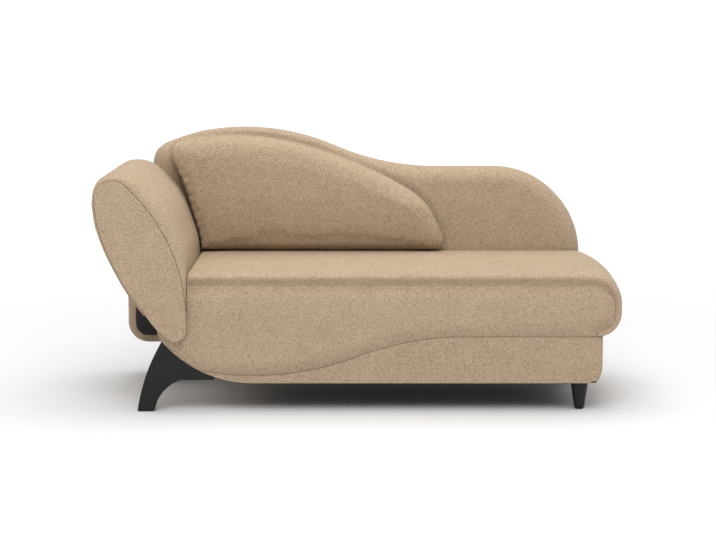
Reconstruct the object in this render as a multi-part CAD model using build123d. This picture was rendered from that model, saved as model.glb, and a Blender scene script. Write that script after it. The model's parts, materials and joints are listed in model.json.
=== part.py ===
from build123d import *
import os
from math import asin, atan2, cos, degrees, radians, sin, sqrt

# A recamiere: an upholstered day lounger with a head end that folds down in ratchet steps.
# Millimetres. X runs from the head end (left) to the foot end (right), Y from the front to the
# back, Z up. The origin is on the floor, under the middle of the lounger.

# Overall sizes
WIDTH = 1680.0
DEPTH = 800.0
SEAT_HEIGHT = 450.0

# Layers from the front edge backwards
LENS_PAD = 8.0            # padded panel on the front cheek of the head end
CHEEK = 15.0              # cheek boards of the head end
HINGE_GAP = 27.0          # room for a ratchet fitting between cheek and base board
BOARD = 20.0              # boards of the base box
APRON = 22.0              # padded front apron

# Layers from the rear edge forwards
REAR_PAD = 40.0
STUD = 36.0
BACK_PLY = 18.0
BACK_PAD = 54.0
ARM_TO_BACK = 6.0         # air between the folding head end and the back
ARM_SKIN = 4.0            # rear cover of the head end

# Base box
BASE_BOTTOM = 93.0
BOARD_TOP = 330.0
PLINTH_INSET = 58.0       # the foot end of the seat stands out this far over the plinth
PLINTH_TUCK = 20.0        # the plinth's end curves in by this much towards its lower edge
PLINTH_TUCK_HEIGHT = 60.0
PLINTH_TURN = 36.0        # its cover is turned under the base this far
PLINTH_SKIN = 3.0
SWEEP_RADIUS = 380.0      # large curve under the head end
NOSE_RADIUS = 62.0        # round left end of the base, about the pivot
BENT_PANEL = 6.0
DUST_COVER = 2.0
CORNER_BLOCK = 70.0
CORNER_BLOCK_HEIGHT = 45.0
CROSS_RAIL = 40.0
CROSS_RAIL_HEIGHT = 60.0
CROSS_RAIL_STEPS = (0.33, 0.67)
TOP_RAIL = 20.0

# Seat
SEAT_BAND = 38.0          # top pad, which also wraps over the foot end
END_TOP_RADIUS = 90.0
END_LOW_RADIUS = 128.0
END_WIDEST_DROP = 113.0   # widest point of the foot end, below the top of the seat
APRON_LOW_Z = 118.0       # lowest point of the waved apron
APRON_HIGH_Z = 243.0      # apron's lower edge at the foot end
WAVE_LOW_INSET = 505.0    # lowest point of the wave, from the left end
WAVE_HIGH_INSET = 500.0   # where the wave runs out level, from the right end
PAD_ROUND = 16.0
APRON_ROUND = 7.0
WEB = 3.0
WEB_WIDTH = 60.0
WEB_CROSS_COUNT = 7
WEB_LONG_COUNT = 3

# Back
BACK_TOP_Z = 872.0
BACK_HUMP_INSET = 440.0   # top of the hump, from the left end
BACK_HUMP_RADIUS = 810.0
BACK_LEVEL_Z = 734.0      # level top edge at the foot end
BACK_SADDLE_RADIUS = 900.0
BACK_CORNER_RADIUS = 300.0
BACK_RIGHT_INSET = 59.0
BACK_LEFT_INSET = 24.0
BACK_LEAN_INSET = 130.0   # upper left corner, from the left end
BACK_LEAN_Z = 300.0
BACK_BOTTOM_Z = 110.0
BACK_LEFT_ROUND = 60.0
BACK_FOOT_ROUND = 70.0
BACK_RIM = 36.0           # padding past the edge of the back's plywood
BACK_FRONT_ROUND = 40.0
BACK_REAR_ROUND = 26.0
STUD_WIDTH = 45.0
SPACER_WIDTH = 60.0
SPACER_HEIGHT = 90.0
SPACER_Z = 240.0
SPACER_SHARES = (0.28, 0.56, 0.88)

# Back cushion
CUSHION_DEPTH = 96.0
CUSHION_LIFT = 2.0
CUSHION_LEFT_INSET = 306.0    # lower left corner, from the left end
CUSHION_LENGTH = 828.0
CUSHION_TOP_INSET = 187.0     # upper left corner, from the left end
CUSHION_TOP_Z = 850.0
CUSHION_LEFT_Z = 822.0        # upper left corner before it is rounded
CUSHION_DRAWN_IN = 16.0       # its left side is drawn in by this much
CUSHION_CORNER = 40.0
CUSHION_CREST = (0.36, 0.945)     # points on its top edge, as shares of its length and height
CUSHION_SHOULDER = (0.81, 0.585)
CUSHION_KNEE = (0.925, 0.4)
CUSHION_SECTIONS = ((0.0, 0.97), (0.25, 1.0), (0.55, 0.955), (0.8, 0.84), (1.0, 0.62))  # depth, size

# Head end
PIVOT_INSET = 260.0       # pivot from the left end
PIVOT_Z = 268.0
HEAD_LEAN = 25.2          # lean of the head end at rest, degrees
TIP_RADIUS = 35.0         # lower tip of the lens, about the pivot
CROWN_ALONG = 464.0       # upper round of the lens, from the pivot along its lean
CROWN_RADIUS = 57.0
LENS_OUTER_RADIUS = 600.0
LENS_FLANK = 32.0         # upright flank above the tip on the seat side
HEAD_COVER = 12.0         # padded outer cover
COVER_PROUD = 9.0         # how far it stands out round the lens panel
CROWN_LIFT = 8.0          # the cover is fuller at the top
COVER_LOW_RADIUS = 104.0  # its lower end, from the pivot
HEAD_GAP = 4.0            # air between head end and base
SEAT_TO_HEAD = 5.0
PAD_FLANK_Z = 478.0       # the inner pad rises upright to here
PAD_BULGE_RADIUS = 292.0
PAD_BULGE_TURN = 68.0
INNER_BOARD = 8.0
INNER_BOARD_RIGHT = 42.5  # its face, right of the lens axis
INNER_BOARD_LOW = 72.0
INNER_BOARD_HIGH = 470.0
HEAD_RAIL = 34.0
HEAD_RAIL_PLACES = ((464.0, 0.0), (153.0, -44.0))    # along the lean and to its right
CHEEK_INSET = 10.0

# Ratchet fitting
PLATE = 3.0
GEAR = 5.0
ARM_PLATE = 4.0
LAYER_GAP = 0.4
FITTING_AIR = 1.6         # between the fitting and the apron's hollow
PIN_RADIUS = 6.0
PAWL_PIN_RADIUS = 3.0
RUNNING = 0.05            # radial clearance of pins
HUB_RADIUS = 16.0
TOOTH_TIP = 27.0
TOOTH_ROOT = 23.5
TOOTH_PITCH = 10.0        # degrees
TOOTH_RAKE = 1.0
TEETH = 9
PAWL_ANGLE = -20.0        # where the pawl meets the sector
PAWL_PIVOT = (46.0, 30.0)
PAWL_TOE = (37.0, -13.0)
PAWL_HALF = 5.5
PAWL_SWING = 9.0          # degrees between engaged and held off
PAWL_TOOTH_ROOT = (0.5, 12.0)     # its tooth, in degrees past PAWL_ANGLE
PAWL_TOOTH_TIP = (1.0, 1.6)
PAWL_TIP_GAP = 1.0        # between its tooth and the root of the sector
ARM_HALF = 14.0
ARM_LENGTH = 150.0
ARM_SCREWS = (80.0, 110.0, 140.0)
PLATE_SIZE = (96.0, 80.0)
PLATE_SHIFT = 22.0        # plate's middle, right of the pivot
PLATE_SCREWS = ((62.0, -32.0), (-18.0, -32.0), (-18.0, 32.0), (20.0, 36.0))
SCREW_RADIUS = 2.4
SCREW_HEAD_RADIUS = 4.2
SCREW_HEAD = 2.4
SCREW_LENGTH = 12.0
SPRING = 1.2
SPRING_FOOT = (14.3, -2.7)    # lower end of the leaf, from the pawl's toe

# Legs and feet
GLIDE = 3.0
LEG_THICK = 45.0
LEG_SETBACK = 2.0         # front leg behind the face of the base board
LEG_FOOT_OUT = 128.0      # foot's outer edge, left of the pivot
LEG_FOOT_WIDTH = 54.0
LEG_UNDERSIDE_Z = 102.0
LEG_ROUND = 4.0
LEG_TIP_INSET = 118.0     # thin end of the leg, right of the pivot
LEG_HEEL_INSET = 10.0     # where its level underside ends, right of the pivot
LEG_OUTER_BEND = (-92.0, 137.0)   # on its outer curve: from the pivot, above the floor
LEG_INNER_BEND = (-41.0, 68.0)
LEG_BOLTS = (5.0, 49.0)   # from the pivot
LEG_BLOCK = (-27.0, 76.0)
FOOT_INSET = 125.0        # tapered feet, from the right end
FOOT_TOP_RADIUS = 30.0
FOOT_TIP_RADIUS = 16.0
BOLT_RADIUS = 4.0
BOLT_HEAD_RADIUS = 7.5
BOLT_HEAD = 5.5
BOLT_DEPTH = 30.0         # in a leg or foot
HOLE_GAP = 0.2
SEAT_FIT = 0.3            # between curved faces that meet

# Places worked out from the sizes
x_left = -WIDTH / 2
x_right = WIDTH / 2
y_front = -DEPTH / 2
y_rear = DEPTH / 2
y_cheek_front = y_front + LENS_PAD
y_cheek_inner = y_cheek_front + CHEEK
y_base_front = y_cheek_inner + HINGE_GAP
y_base_inner = y_base_front + BOARD
y_apron_front = y_base_front - APRON
y_studs_rear = y_rear - REAR_PAD
y_ply_rear = y_studs_rear - STUD
y_ply_front = y_ply_rear - BACK_PLY
y_back_face = y_ply_front - BACK_PAD
y_head_rear = y_back_face - ARM_TO_BACK
y_rear_cheek_outer = y_head_rear - ARM_SKIN
y_rear_cheek_inner = y_rear_cheek_outer - CHEEK
y_base_rear = y_rear_cheek_inner - HINGE_GAP
y_rear_inner = y_base_rear - BOARD
y_seat_rear = y_back_face - CUSHION_LIFT

pivot = (x_left + PIVOT_INSET, PIVOT_Z)
x_seat_left = pivot[0] + TIP_RADIUS + HEAD_GAP
x_plinth = x_right - PLINTH_INSET
x_board_right = x_plinth - PLINTH_SKIN
tuck_radius = (PLINTH_TUCK_HEIGHT ** 2 + PLINTH_TUCK ** 2) / (2 * PLINTH_TUCK)
tuck = (x_plinth - tuck_radius, BASE_BOTTOM + PLINTH_TUCK_HEIGHT)
sweep_z = BASE_BOTTOM + SWEEP_RADIUS
sweep_x = pivot[0] + sqrt((SWEEP_RADIUS - NOSE_RADIUS) ** 2 - (sweep_z - pivot[1]) ** 2)
sweep = (sweep_x, sweep_z)
sweep_angle = degrees(atan2(pivot[1] - sweep_z, pivot[0] - sweep_x)) % 360
z_nose = pivot[1] + NOSE_RADIUS
z_band = SEAT_HEIGHT - SEAT_BAND
z_long_web = BOARD_TOP + WEB
z_foam = z_long_web + WEB
foam_right = x_right - END_TOP_RADIUS
end_top = (foam_right, SEAT_HEIGHT - END_TOP_RADIUS)
end_widest_z = SEAT_HEIGHT - END_WIDEST_DROP
end_low = (x_right - END_LOW_RADIUS, end_widest_z)
end_low_angle = -degrees(atan2(end_widest_z - APRON_HIGH_Z,
                               sqrt(END_LOW_RADIUS ** 2 - (end_widest_z - APRON_HIGH_Z) ** 2)))

nodes = {}


def polar(center, radius, angle):
    """Point at an angle, in degrees, on a circle."""
    return (center[0] + radius * cos(radians(angle)), center[1] + radius * sin(radians(angle)))


def arc_step(center, radius, first, last):
    """Middle and end of an arc, as one step of an outline."""
    return (polar(center, radius, (first + last) / 2), polar(center, radius, last))


def outline(start, *steps):
    """Face inside straight steps (end,) and arc steps (through, end), closed back to the start."""
    edges = []
    here = start
    for step in steps + ((start,),):
        end = step[-1]
        if abs(end[0] - here[0]) + abs(end[1] - here[1]) > 1e-6:
            edges.append(Line(here, end) if len(step) == 1 else ThreePointArc(here, step[0], end))
        here = end
    return make_face(Curve() + edges)


def prism(face, y_low, y_high):
    """Extrude an outline drawn in X and Z from one Y plane to another."""
    return extrude(Plane.XZ.offset(-y_high) * face, y_high - y_low)


def box(low, high):
    """Box between two corners."""
    size = [b - a for a, b in zip(low, high)]
    middle = [(a + b) / 2 for a, b in zip(low, high)]
    return Pos(*middle) * Box(*size)


def rod(center, radius, y_low, y_high):
    """Round bar along Y at a point of the X Z plane."""
    return prism(Pos(*center) * Circle(radius), y_low, y_high)


def post(x, y, radius, z_low, z_high):
    """Round bar along Z."""
    return Pos(x, y, (z_low + z_high) / 2) * Cylinder(radius, z_high - z_low)


def spread(first, last, count):
    """Evenly spaced middles of a row, half a step in from its ends."""
    step = (last - first) / count
    return [first + step * (index + 0.5) for index in range(count)]


def edges_at(solid, y):
    """Edges of a solid that lie in one Y plane."""
    return solid.edges().filter_by_position(Axis.Y, y - 0.01, y + 0.01)


def group(solids):
    """Several separate solids of one node."""
    return Compound(children=list(solids))


# Base box


def tuck_angle(radius, z):
    """Angle at which a circle about the tuck's centre reaches a height below it."""
    return -degrees(asin((tuck[1] - z) / radius))


def base_outline(inset, right, top):
    """Board outline of the base: round nose, large sweep, level bottom, tucked right end."""
    nose = NOSE_RADIUS - inset
    radius = SWEEP_RADIUS - inset
    bottom = BASE_BOTTOM + inset
    end_radius = right - tuck[0]
    end_angle = tuck_angle(end_radius, bottom)
    return outline(
        (pivot[0], pivot[1] + nose),
        arc_step(pivot, nose, 90, sweep_angle),
        arc_step(sweep, radius, sweep_angle, 270),
        (polar(tuck, end_radius, end_angle),),
        arc_step(tuck, end_radius, end_angle, 0),
        ((right, top),),
        ((x_seat_left, top),),
        ((x_seat_left, pivot[1] + nose),),
    )


def bent_panel():
    """Bent panel round the nose and the sweep, over the edges of the front and rear boards."""
    inner_nose = NOSE_RADIUS - BENT_PANEL
    inner_radius = SWEEP_RADIUS - BENT_PANEL
    return outline(
        (x_seat_left, z_nose),
        ((pivot[0], z_nose),),
        arc_step(pivot, NOSE_RADIUS, 90, sweep_angle),
        arc_step(sweep, SWEEP_RADIUS, sweep_angle, 270),
        ((sweep_x, BASE_BOTTOM + BENT_PANEL),),
        arc_step(sweep, inner_radius, 270, sweep_angle),
        arc_step(pivot, inner_nose, sweep_angle, 90),
        ((x_seat_left, z_nose - BENT_PANEL),),
    )


def end_panel(grow):
    """Panel of the foot end, curved in towards its lower edge, larger by a margin."""
    outer = x_board_right + grow - tuck[0]
    inner = outer - BOARD - 2 * grow
    low = board_bottom - grow
    outer_angle = tuck_angle(outer, low)
    inner_angle = tuck_angle(inner, low)
    return outline(
        polar(tuck, inner, inner_angle),
        (polar(tuck, outer, outer_angle),),
        arc_step(tuck, outer, outer_angle, 0),
        ((tuck[0] + outer, z_long_web),),
        ((tuck[0] + inner, z_long_web),),
        ((tuck[0] + inner, tuck[1]),),
        arc_step(tuck, inner, 0, inner_angle),
    )


board_bottom = BASE_BOTTOM + BENT_PANEL + SEAT_FIT
board_face = base_outline(BENT_PANEL + SEAT_FIT, x_board_right, BOARD_TOP)
front_board = prism(board_face, y_base_front, y_base_inner)
rear_board = prism(board_face, y_rear_inner, y_base_rear)
left_panel = prism(bent_panel(), y_base_front, y_base_rear)

right_board = prism(end_panel(0), y_base_front, y_seat_rear)
end_space = prism(end_panel(SEAT_FIT), y_front, y_rear)
front_board -= end_space
rear_board -= end_space
left_rail = box((x_seat_left, y_base_inner, BOARD_TOP - CROSS_RAIL_HEIGHT),
                (x_seat_left + TOP_RAIL, y_rear_inner, z_long_web))

rail_span = x_board_right - x_seat_left
cross_rails = [
    box((x_seat_left + share * rail_span - CROSS_RAIL / 2, y_base_inner, BOARD_TOP - CROSS_RAIL_HEIGHT),
        (x_seat_left + share * rail_span + CROSS_RAIL / 2, y_rear_inner, BOARD_TOP))
    for share in CROSS_RAIL_STEPS
]

# The cover under the base closes its flat part, between the sweep and the turned-under cover of the end
dust_low = board_bottom - DUST_COVER
dust_cover = box((sweep_x + SEAT_FIT, y_base_front, dust_low),
                 (x_board_right - PLINTH_TURN, y_base_rear, board_bottom))

# Feet at the foot end, on blocks in the corners of the box
foot_x = x_right - FOOT_INSET
foot_front_y = y_base_inner + CORNER_BLOCK / 2
foot_rear_y = y_rear_inner - CORNER_BLOCK / 2
foot_places = ((foot_x, foot_front_y), (foot_x, foot_rear_y))
block_top = board_bottom + CORNER_BLOCK_HEIGHT
corner_blocks = []
foot_bolts = []
feet = []
for x, y in foot_places:
    block = box((x - CORNER_BLOCK / 2, y - CORNER_BLOCK / 2, board_bottom),
                (x + CORNER_BLOCK / 2, y + CORNER_BLOCK / 2, block_top))
    hole = post(x, y, BOLT_RADIUS + HOLE_GAP, dust_low - BOLT_DEPTH, block_top)
    corner_blocks.append(block - hole - end_space)
    dust_cover -= hole
    taper = Plane.XZ * make_face(Polyline((0, GLIDE), (FOOT_TIP_RADIUS, GLIDE),
                                          (FOOT_TOP_RADIUS, dust_low), (0, dust_low), close=True))
    foot = revolve(taper, Axis.Z)
    foot = fillet(foot.edges().group_by(Axis.Z)[0], GLIDE)
    feet.append(Pos(x, y, 0) * foot - hole)
    bolt = post(x, y, BOLT_RADIUS, dust_low - BOLT_DEPTH, block_top)
    foot_bolts.append(bolt + post(x, y, BOLT_HEAD_RADIUS, block_top, block_top + BOLT_HEAD))

# Curved legs under the head end, cut to the sweep of the base
foot_out = pivot[0] - LEG_FOOT_OUT
foot_in = foot_out + LEG_FOOT_WIDTH
leg_tip = pivot[0] + LEG_TIP_INSET
leg_top = polar(sweep, SWEEP_RADIUS, sweep_angle)
leg_face = outline(
    (foot_out, GLIDE),
    ((pivot[0] + LEG_OUTER_BEND[0], LEG_OUTER_BEND[1]), leg_top),
    ((leg_top[0] + LEG_FOOT_WIDTH, leg_top[1]),),
    ((leg_tip, LEG_UNDERSIDE_Z + LEG_FOOT_WIDTH),),
    ((leg_tip, LEG_UNDERSIDE_Z),),
    ((pivot[0] + LEG_HEEL_INSET, LEG_UNDERSIDE_Z),),
    ((pivot[0] + LEG_INNER_BEND[0], LEG_INNER_BEND[1]), (foot_in, GLIDE)),
)
base_space = prism(base_outline(-SEAT_FIT, x_board_right, BOARD_TOP), y_front, y_rear)


def curved_leg(y_low):
    """Curved leg between two upright planes, with softened edges."""
    leg = prism(leg_face, y_low, y_low + LEG_THICK)
    leg = fillet(edges_at(leg, y_low) + edges_at(leg, y_low + LEG_THICK), LEG_ROUND)
    return leg - base_space


leg_front_y = y_base_front + LEG_SETBACK
leg_rear_y = y_base_rear - LEG_SETBACK - LEG_THICK
block_low = (pivot[0] + LEG_BLOCK[0], BASE_BOTTOM)
block_high = (pivot[0] + LEG_BLOCK[1], pivot[1] - NOSE_RADIUS)
legs = []
leg_blocks = []
leg_bolts = []
for y_low, inner in ((leg_front_y, y_base_inner), (leg_rear_y, y_rear_inner - LEG_THICK)):
    leg = curved_leg(y_low)
    block = prism(board_face, inner, inner + LEG_THICK)
    block &= box((block_low[0], inner, block_low[1]), (block_high[0], inner + LEG_THICK, block_high[1]))
    bolt_y = (max(y_low, inner) + min(y_low, inner) + LEG_THICK) / 2
    for x in (pivot[0] + step for step in LEG_BOLTS):
        z_seat = block_high[1]
        sweep_at = sweep_z - sqrt(SWEEP_RADIUS ** 2 - (sweep_x - x) ** 2)
        hole = post(x, bolt_y, BOLT_RADIUS + HOLE_GAP, sweep_at - BOLT_DEPTH, z_seat)
        leg -= hole
        block -= hole
        left_panel -= hole
        bolt = post(x, bolt_y, BOLT_RADIUS, sweep_at - BOLT_DEPTH, z_seat)
        leg_bolts.append(bolt + post(x, bolt_y, BOLT_HEAD_RADIUS, z_seat, z_seat + BOLT_HEAD))
    legs.append(leg)
    leg_blocks.append(block)

glides = [post(x, y, FOOT_TIP_RADIUS - GLIDE, 0, GLIDE) for x, y in foot_places]
for y_low in (leg_front_y, leg_rear_y):
    glides.append(box((foot_out + LEG_ROUND, y_low + LEG_ROUND, 0),
                      (foot_in - LEG_ROUND, y_low + LEG_THICK - LEG_ROUND, GLIDE)))

# Seat


def band_steps(inset):
    """Arcs of the foot end from the level top round to its lower edge."""
    return (
        ((foam_right, SEAT_HEIGHT - inset),),
        arc_step(end_top, END_TOP_RADIUS - inset, 90, 0),
        ((x_right - inset, end_widest_z),),
        arc_step(end_low, END_LOW_RADIUS - inset, 0, end_low_angle),
    )


def band_back_steps(inset):
    """The same arcs walked back from the lower edge to the level top."""
    return (
        (polar(end_low, END_LOW_RADIUS - inset, end_low_angle),),
        arc_step(end_low, END_LOW_RADIUS - inset, end_low_angle, 0),
        ((x_right - inset, end_top[1]),),
        arc_step(end_top, END_TOP_RADIUS - inset, 0, 90),
    )


seat_face = outline((x_seat_left, SEAT_HEIGHT), *band_steps(0), *band_back_steps(SEAT_BAND),
                    ((x_seat_left, z_band),))
seat_pad = prism(seat_face, y_apron_front, y_seat_rear)
seat_pad = fillet(edges_at(seat_pad, y_apron_front), PAD_ROUND)
seat_rear_edge = edges_at(seat_pad, y_seat_rear).filter_by(Axis.X).sort_by(Axis.Z)[-1]
seat_pad = fillet(seat_rear_edge, PAD_ROUND)
seat_pad -= box((sweep_x, y_front, 0), (x_plinth + SEAT_FIT, y_rear, z_foam))


def wave_steps():
    """Lower edge of the apron from its level right part to the sweep under the head end."""
    low = (x_left + WAVE_LOW_INSET, APRON_LOW_Z)
    high = (x_right - WAVE_HIGH_INSET, APRON_HIGH_Z)
    run = high[0] - low[0]
    rise = high[1] - low[1]
    radius = (run ** 2 + rise ** 2) / (4 * rise)
    low_center = (low[0], low[1] + radius)
    high_center = (high[0], high[1] - radius)
    turn = degrees(atan2(run / 2, radius - rise / 2))
    meet = circles_meet(low_center, radius, sweep, SWEEP_RADIUS)
    meet_angle = degrees(atan2(meet[1] - low_center[1], meet[0] - low_center[0])) % 360
    sweep_meet = degrees(atan2(meet[1] - sweep[1], meet[0] - sweep[0])) % 360
    return (
        (high,),
        arc_step(high_center, radius, 90, 90 + turn),
        arc_step(low_center, radius, 270 + turn, meet_angle),
        arc_step(sweep, SWEEP_RADIUS, sweep_meet, sweep_angle),
    )


def circles_meet(first, first_radius, second, second_radius):
    """Left one of the two points where two circles cross."""
    across = (second[0] - first[0], second[1] - first[1])
    gap = sqrt(across[0] ** 2 + across[1] ** 2)
    along = (gap ** 2 + first_radius ** 2 - second_radius ** 2) / (2 * gap)
    aside = sqrt(first_radius ** 2 - along ** 2)
    unit = (across[0] / gap, across[1] / gap)
    base = (first[0] + along * unit[0], first[1] + along * unit[1])
    points = [(base[0] + side * aside * unit[1], base[1] - side * aside * unit[0]) for side in (-1, 1)]
    return min(points)


apron_inset = SEAT_BAND + SEAT_FIT
apron_face = outline(
    (x_seat_left, SEAT_HEIGHT - apron_inset),
    *band_steps(apron_inset),
    (polar(end_low, END_LOW_RADIUS, end_low_angle),),
    *wave_steps(),
    arc_step(pivot, NOSE_RADIUS, sweep_angle, 90),
    ((x_seat_left, z_nose),),
)
apron = prism(apron_face, y_apron_front, y_base_front)
hanging_edges = edges_at(apron, y_apron_front).filter_by(
    lambda edge: edge.center().Z < z_nose - SEAT_FIT and edge.center().X < x_plinth)
apron = fillet(hanging_edges, APRON_ROUND)

# The foam of the end roll stops at the end panel
foam_reach = x_plinth + SEAT_FIT - end_low[0]
foam_radius = END_LOW_RADIUS - apron_inset
foam_angle = -degrees(atan2(sqrt(foam_radius ** 2 - foam_reach ** 2), foam_reach))
seat_foam = box((x_seat_left, y_base_front, z_foam), (foam_right, y_base_rear, z_band))
end_foam_face = outline(
    (foam_right, SEAT_HEIGHT - apron_inset),
    *band_steps(apron_inset)[1:3],
    arc_step(end_low, foam_radius, 0, foam_angle),
    ((x_plinth + SEAT_FIT, z_foam),),
    ((foam_right, z_foam),),
)
end_foam = prism(end_foam_face, y_base_front, y_base_rear)

web_cross = [
    box((x - WEB_WIDTH / 2, y_base_front, BOARD_TOP), (x + WEB_WIDTH / 2, y_base_rear, z_long_web))
    for x in spread(x_seat_left + TOP_RAIL, x_board_right - BOARD, WEB_CROSS_COUNT)
]
web_long = [
    box((x_seat_left, y - WEB_WIDTH / 2, z_long_web), (x_board_right, y + WEB_WIDTH / 2, z_foam))
    for y in spread(y_base_inner, y_rear_inner, WEB_LONG_COUNT)
]

# Thin fabric on the plinth, below the apron at the front and at the foot end
plinth_low = base_outline(0, x_plinth, APRON_HIGH_Z) - apron_face
plinth_front = prism(plinth_low, y_base_front - PLINTH_SKIN, y_base_front)
end_skin_face = base_outline(0, x_plinth, z_foam)
end_skin_face -= base_outline(board_bottom - BASE_BOTTOM, x_board_right, z_foam)
end_skin_face &= Pos(x_plinth, BASE_BOTTOM) * Rectangle(PLINTH_TURN * 2, z_foam * 2)
plinth_end = prism(end_skin_face, y_base_front, y_seat_rear)

# Back


def back_outline(inset):
    """Back's outline: hump, saddle, level edge and round corner, all moved in by an inset."""
    hump = (x_left + BACK_HUMP_INSET, BACK_TOP_Z - BACK_HUMP_RADIUS)
    level = BACK_LEVEL_Z - inset
    hump_radius = BACK_HUMP_RADIUS - inset
    saddle_radius = BACK_SADDLE_RADIUS + inset
    saddle_z = BACK_LEVEL_Z + BACK_SADDLE_RADIUS
    both = BACK_HUMP_RADIUS + BACK_SADDLE_RADIUS
    saddle = (hump[0] + sqrt(both ** 2 - (saddle_z - hump[1]) ** 2), saddle_z)
    turn = degrees(atan2(saddle[1] - hump[1], saddle[0] - hump[0]))
    right = x_right - BACK_RIGHT_INSET - inset
    corner = (x_right - BACK_RIGHT_INSET - BACK_CORNER_RADIUS, BACK_LEVEL_Z - BACK_CORNER_RADIUS)
    corner_radius = BACK_CORNER_RADIUS - inset
    left = x_left + BACK_LEFT_INSET + inset
    lean_x = x_left + BACK_LEAN_INSET + inset
    lean_top = hump[1] + sqrt(hump_radius ** 2 - (lean_x - hump[0]) ** 2)
    start_angle = degrees(atan2(lean_top - hump[1], lean_x - hump[0]))
    face = outline(
        (lean_x, lean_top),
        arc_step(hump, hump_radius, start_angle, turn),
        arc_step(saddle, saddle_radius, turn + 180, 270),
        ((corner[0], level),),
        arc_step(corner, corner_radius, 90, 0),
        ((right, BACK_BOTTOM_Z + inset),),
        ((left, BACK_BOTTOM_Z + inset),),
        ((left, BACK_LEAN_Z),),
    )
    foot_corners = face.vertices().group_by(Axis.Y)[0]
    face = fillet(foot_corners, BACK_FOOT_ROUND - inset)
    top_left = face.vertices().sort_by(Axis.X)
    lean_corner = [v for v in top_left if abs(v.X - lean_x) < 0.01 and abs(v.Y - lean_top) < 0.01]
    return fillet(lean_corner, BACK_LEFT_ROUND - inset)


back_face = back_outline(0)
ply_face = back_outline(BACK_RIM)
back_board = prism(ply_face, y_ply_front, y_ply_rear)
back_pad = prism(back_face, y_back_face, y_ply_front)
back_pad = fillet(edges_at(back_pad, y_back_face), BACK_FRONT_ROUND)
rear_pad = prism(back_face, y_ply_front, y_rear) - prism(ply_face, y_ply_front, y_studs_rear)
rear_pad = fillet(edges_at(rear_pad, y_rear), BACK_REAR_ROUND)

# Studs behind the plywood, cut to its outline
stud_space = prism(ply_face, y_ply_rear, y_studs_rear)
back_span = x_right - x_left
stud_x = [x_left + share * back_span for share in SPACER_SHARES]
studs = [
    stud_space & box((x - STUD_WIDTH / 2, y_ply_rear, 0), (x + STUD_WIDTH / 2, y_studs_rear, BACK_TOP_Z))
    for x in stud_x
]

# Spacers carry the back on the base, each with two bolts through board, spacer and plywood
spacers = []
back_bolts = []
for index, x in enumerate(stud_x):
    low = (x - SPACER_WIDTH / 2, y_base_rear, SPACER_Z - SPACER_HEIGHT / 2)
    high = (x + SPACER_WIDTH / 2, y_ply_front, SPACER_Z + SPACER_HEIGHT / 2)
    spacer = box(low, high)
    back_pad -= box((low[0] - SEAT_FIT, y_back_face, low[2] - SEAT_FIT),
                    (high[0] + SEAT_FIT, y_ply_front, high[2] + SEAT_FIT))
    for z in (SPACER_Z - SPACER_HEIGHT / 4, SPACER_Z + SPACER_HEIGHT / 4):
        hole = rod((x, z), BOLT_RADIUS + HOLE_GAP, y_rear_inner, y_ply_rear)
        spacer -= hole
        rear_board -= hole
        back_board -= hole
        head = rod((x, z), BOLT_HEAD_RADIUS, y_ply_rear, y_ply_rear + BOLT_HEAD)
        nut = rod((x, z), BOLT_HEAD_RADIUS, y_rear_inner - BOLT_HEAD, y_rear_inner)
        studs[index] -= rod((x, z), BOLT_HEAD_RADIUS + HOLE_GAP, y_ply_rear, y_ply_rear + BOLT_HEAD)
        back_bolts.append(rod((x, z), BOLT_RADIUS, y_rear_inner, y_ply_rear) + head + nut)
    spacers.append(spacer)

# Back cushion: a crowned teardrop whose rim lies against the back


def cushion_outline():
    """Teardrop with a drawn-in left side, a long falling top and a level bottom."""
    bottom = SEAT_HEIGHT + CUSHION_LIFT
    low_left = (x_left + CUSHION_LEFT_INSET, bottom)
    top_left = (x_left + CUSHION_TOP_INSET, CUSHION_LEFT_Z)
    low_right = (low_left[0] + CUSHION_LENGTH, bottom)
    rise = CUSHION_TOP_Z - bottom
    crest, shoulder, knee = (
        (low_left[0] + CUSHION_LENGTH * along, bottom + rise * up)
        for along, up in (CUSHION_CREST, CUSHION_SHOULDER, CUSHION_KNEE)
    )
    side = ((low_left[0] + top_left[0]) / 2 + CUSHION_DRAWN_IN, (low_left[1] + top_left[1]) / 2)
    face = outline(
        low_left,
        (side, top_left),
        (crest, shoulder),
        (knee, low_right),
    )
    top = [v for v in face.vertices() if abs(v.X - top_left[0]) < 0.01]
    face = fillet(top, CUSHION_CORNER)
    tail = [v for v in face.vertices() if abs(v.X - low_right[0]) < 0.01]
    return fillet(tail, CUSHION_CORNER / 2)


cushion_face = cushion_outline()
cushion_middle = cushion_face.center()
cushion_sections = []
for share, scale_by in CUSHION_SECTIONS:
    shift = 1 - scale_by
    flat = Pos(cushion_middle.X * shift, cushion_middle.Y * shift) * scale(cushion_face, scale_by)
    cushion_sections.append(Plane.XZ.offset(-(y_back_face - SEAT_FIT - share * CUSHION_DEPTH)) * flat)
cushion = loft([section.face() for section in cushion_sections])

# Head end, drawn along its own lean from the pivot


def lean_point(along, right):
    """Point of the X Z plane, from the pivot along the head end's lean and to its right."""
    lean = radians(HEAD_LEAN)
    return (pivot[0] - along * sin(lean) + right * cos(lean),
            pivot[1] + along * cos(lean) + right * sin(lean))


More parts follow.
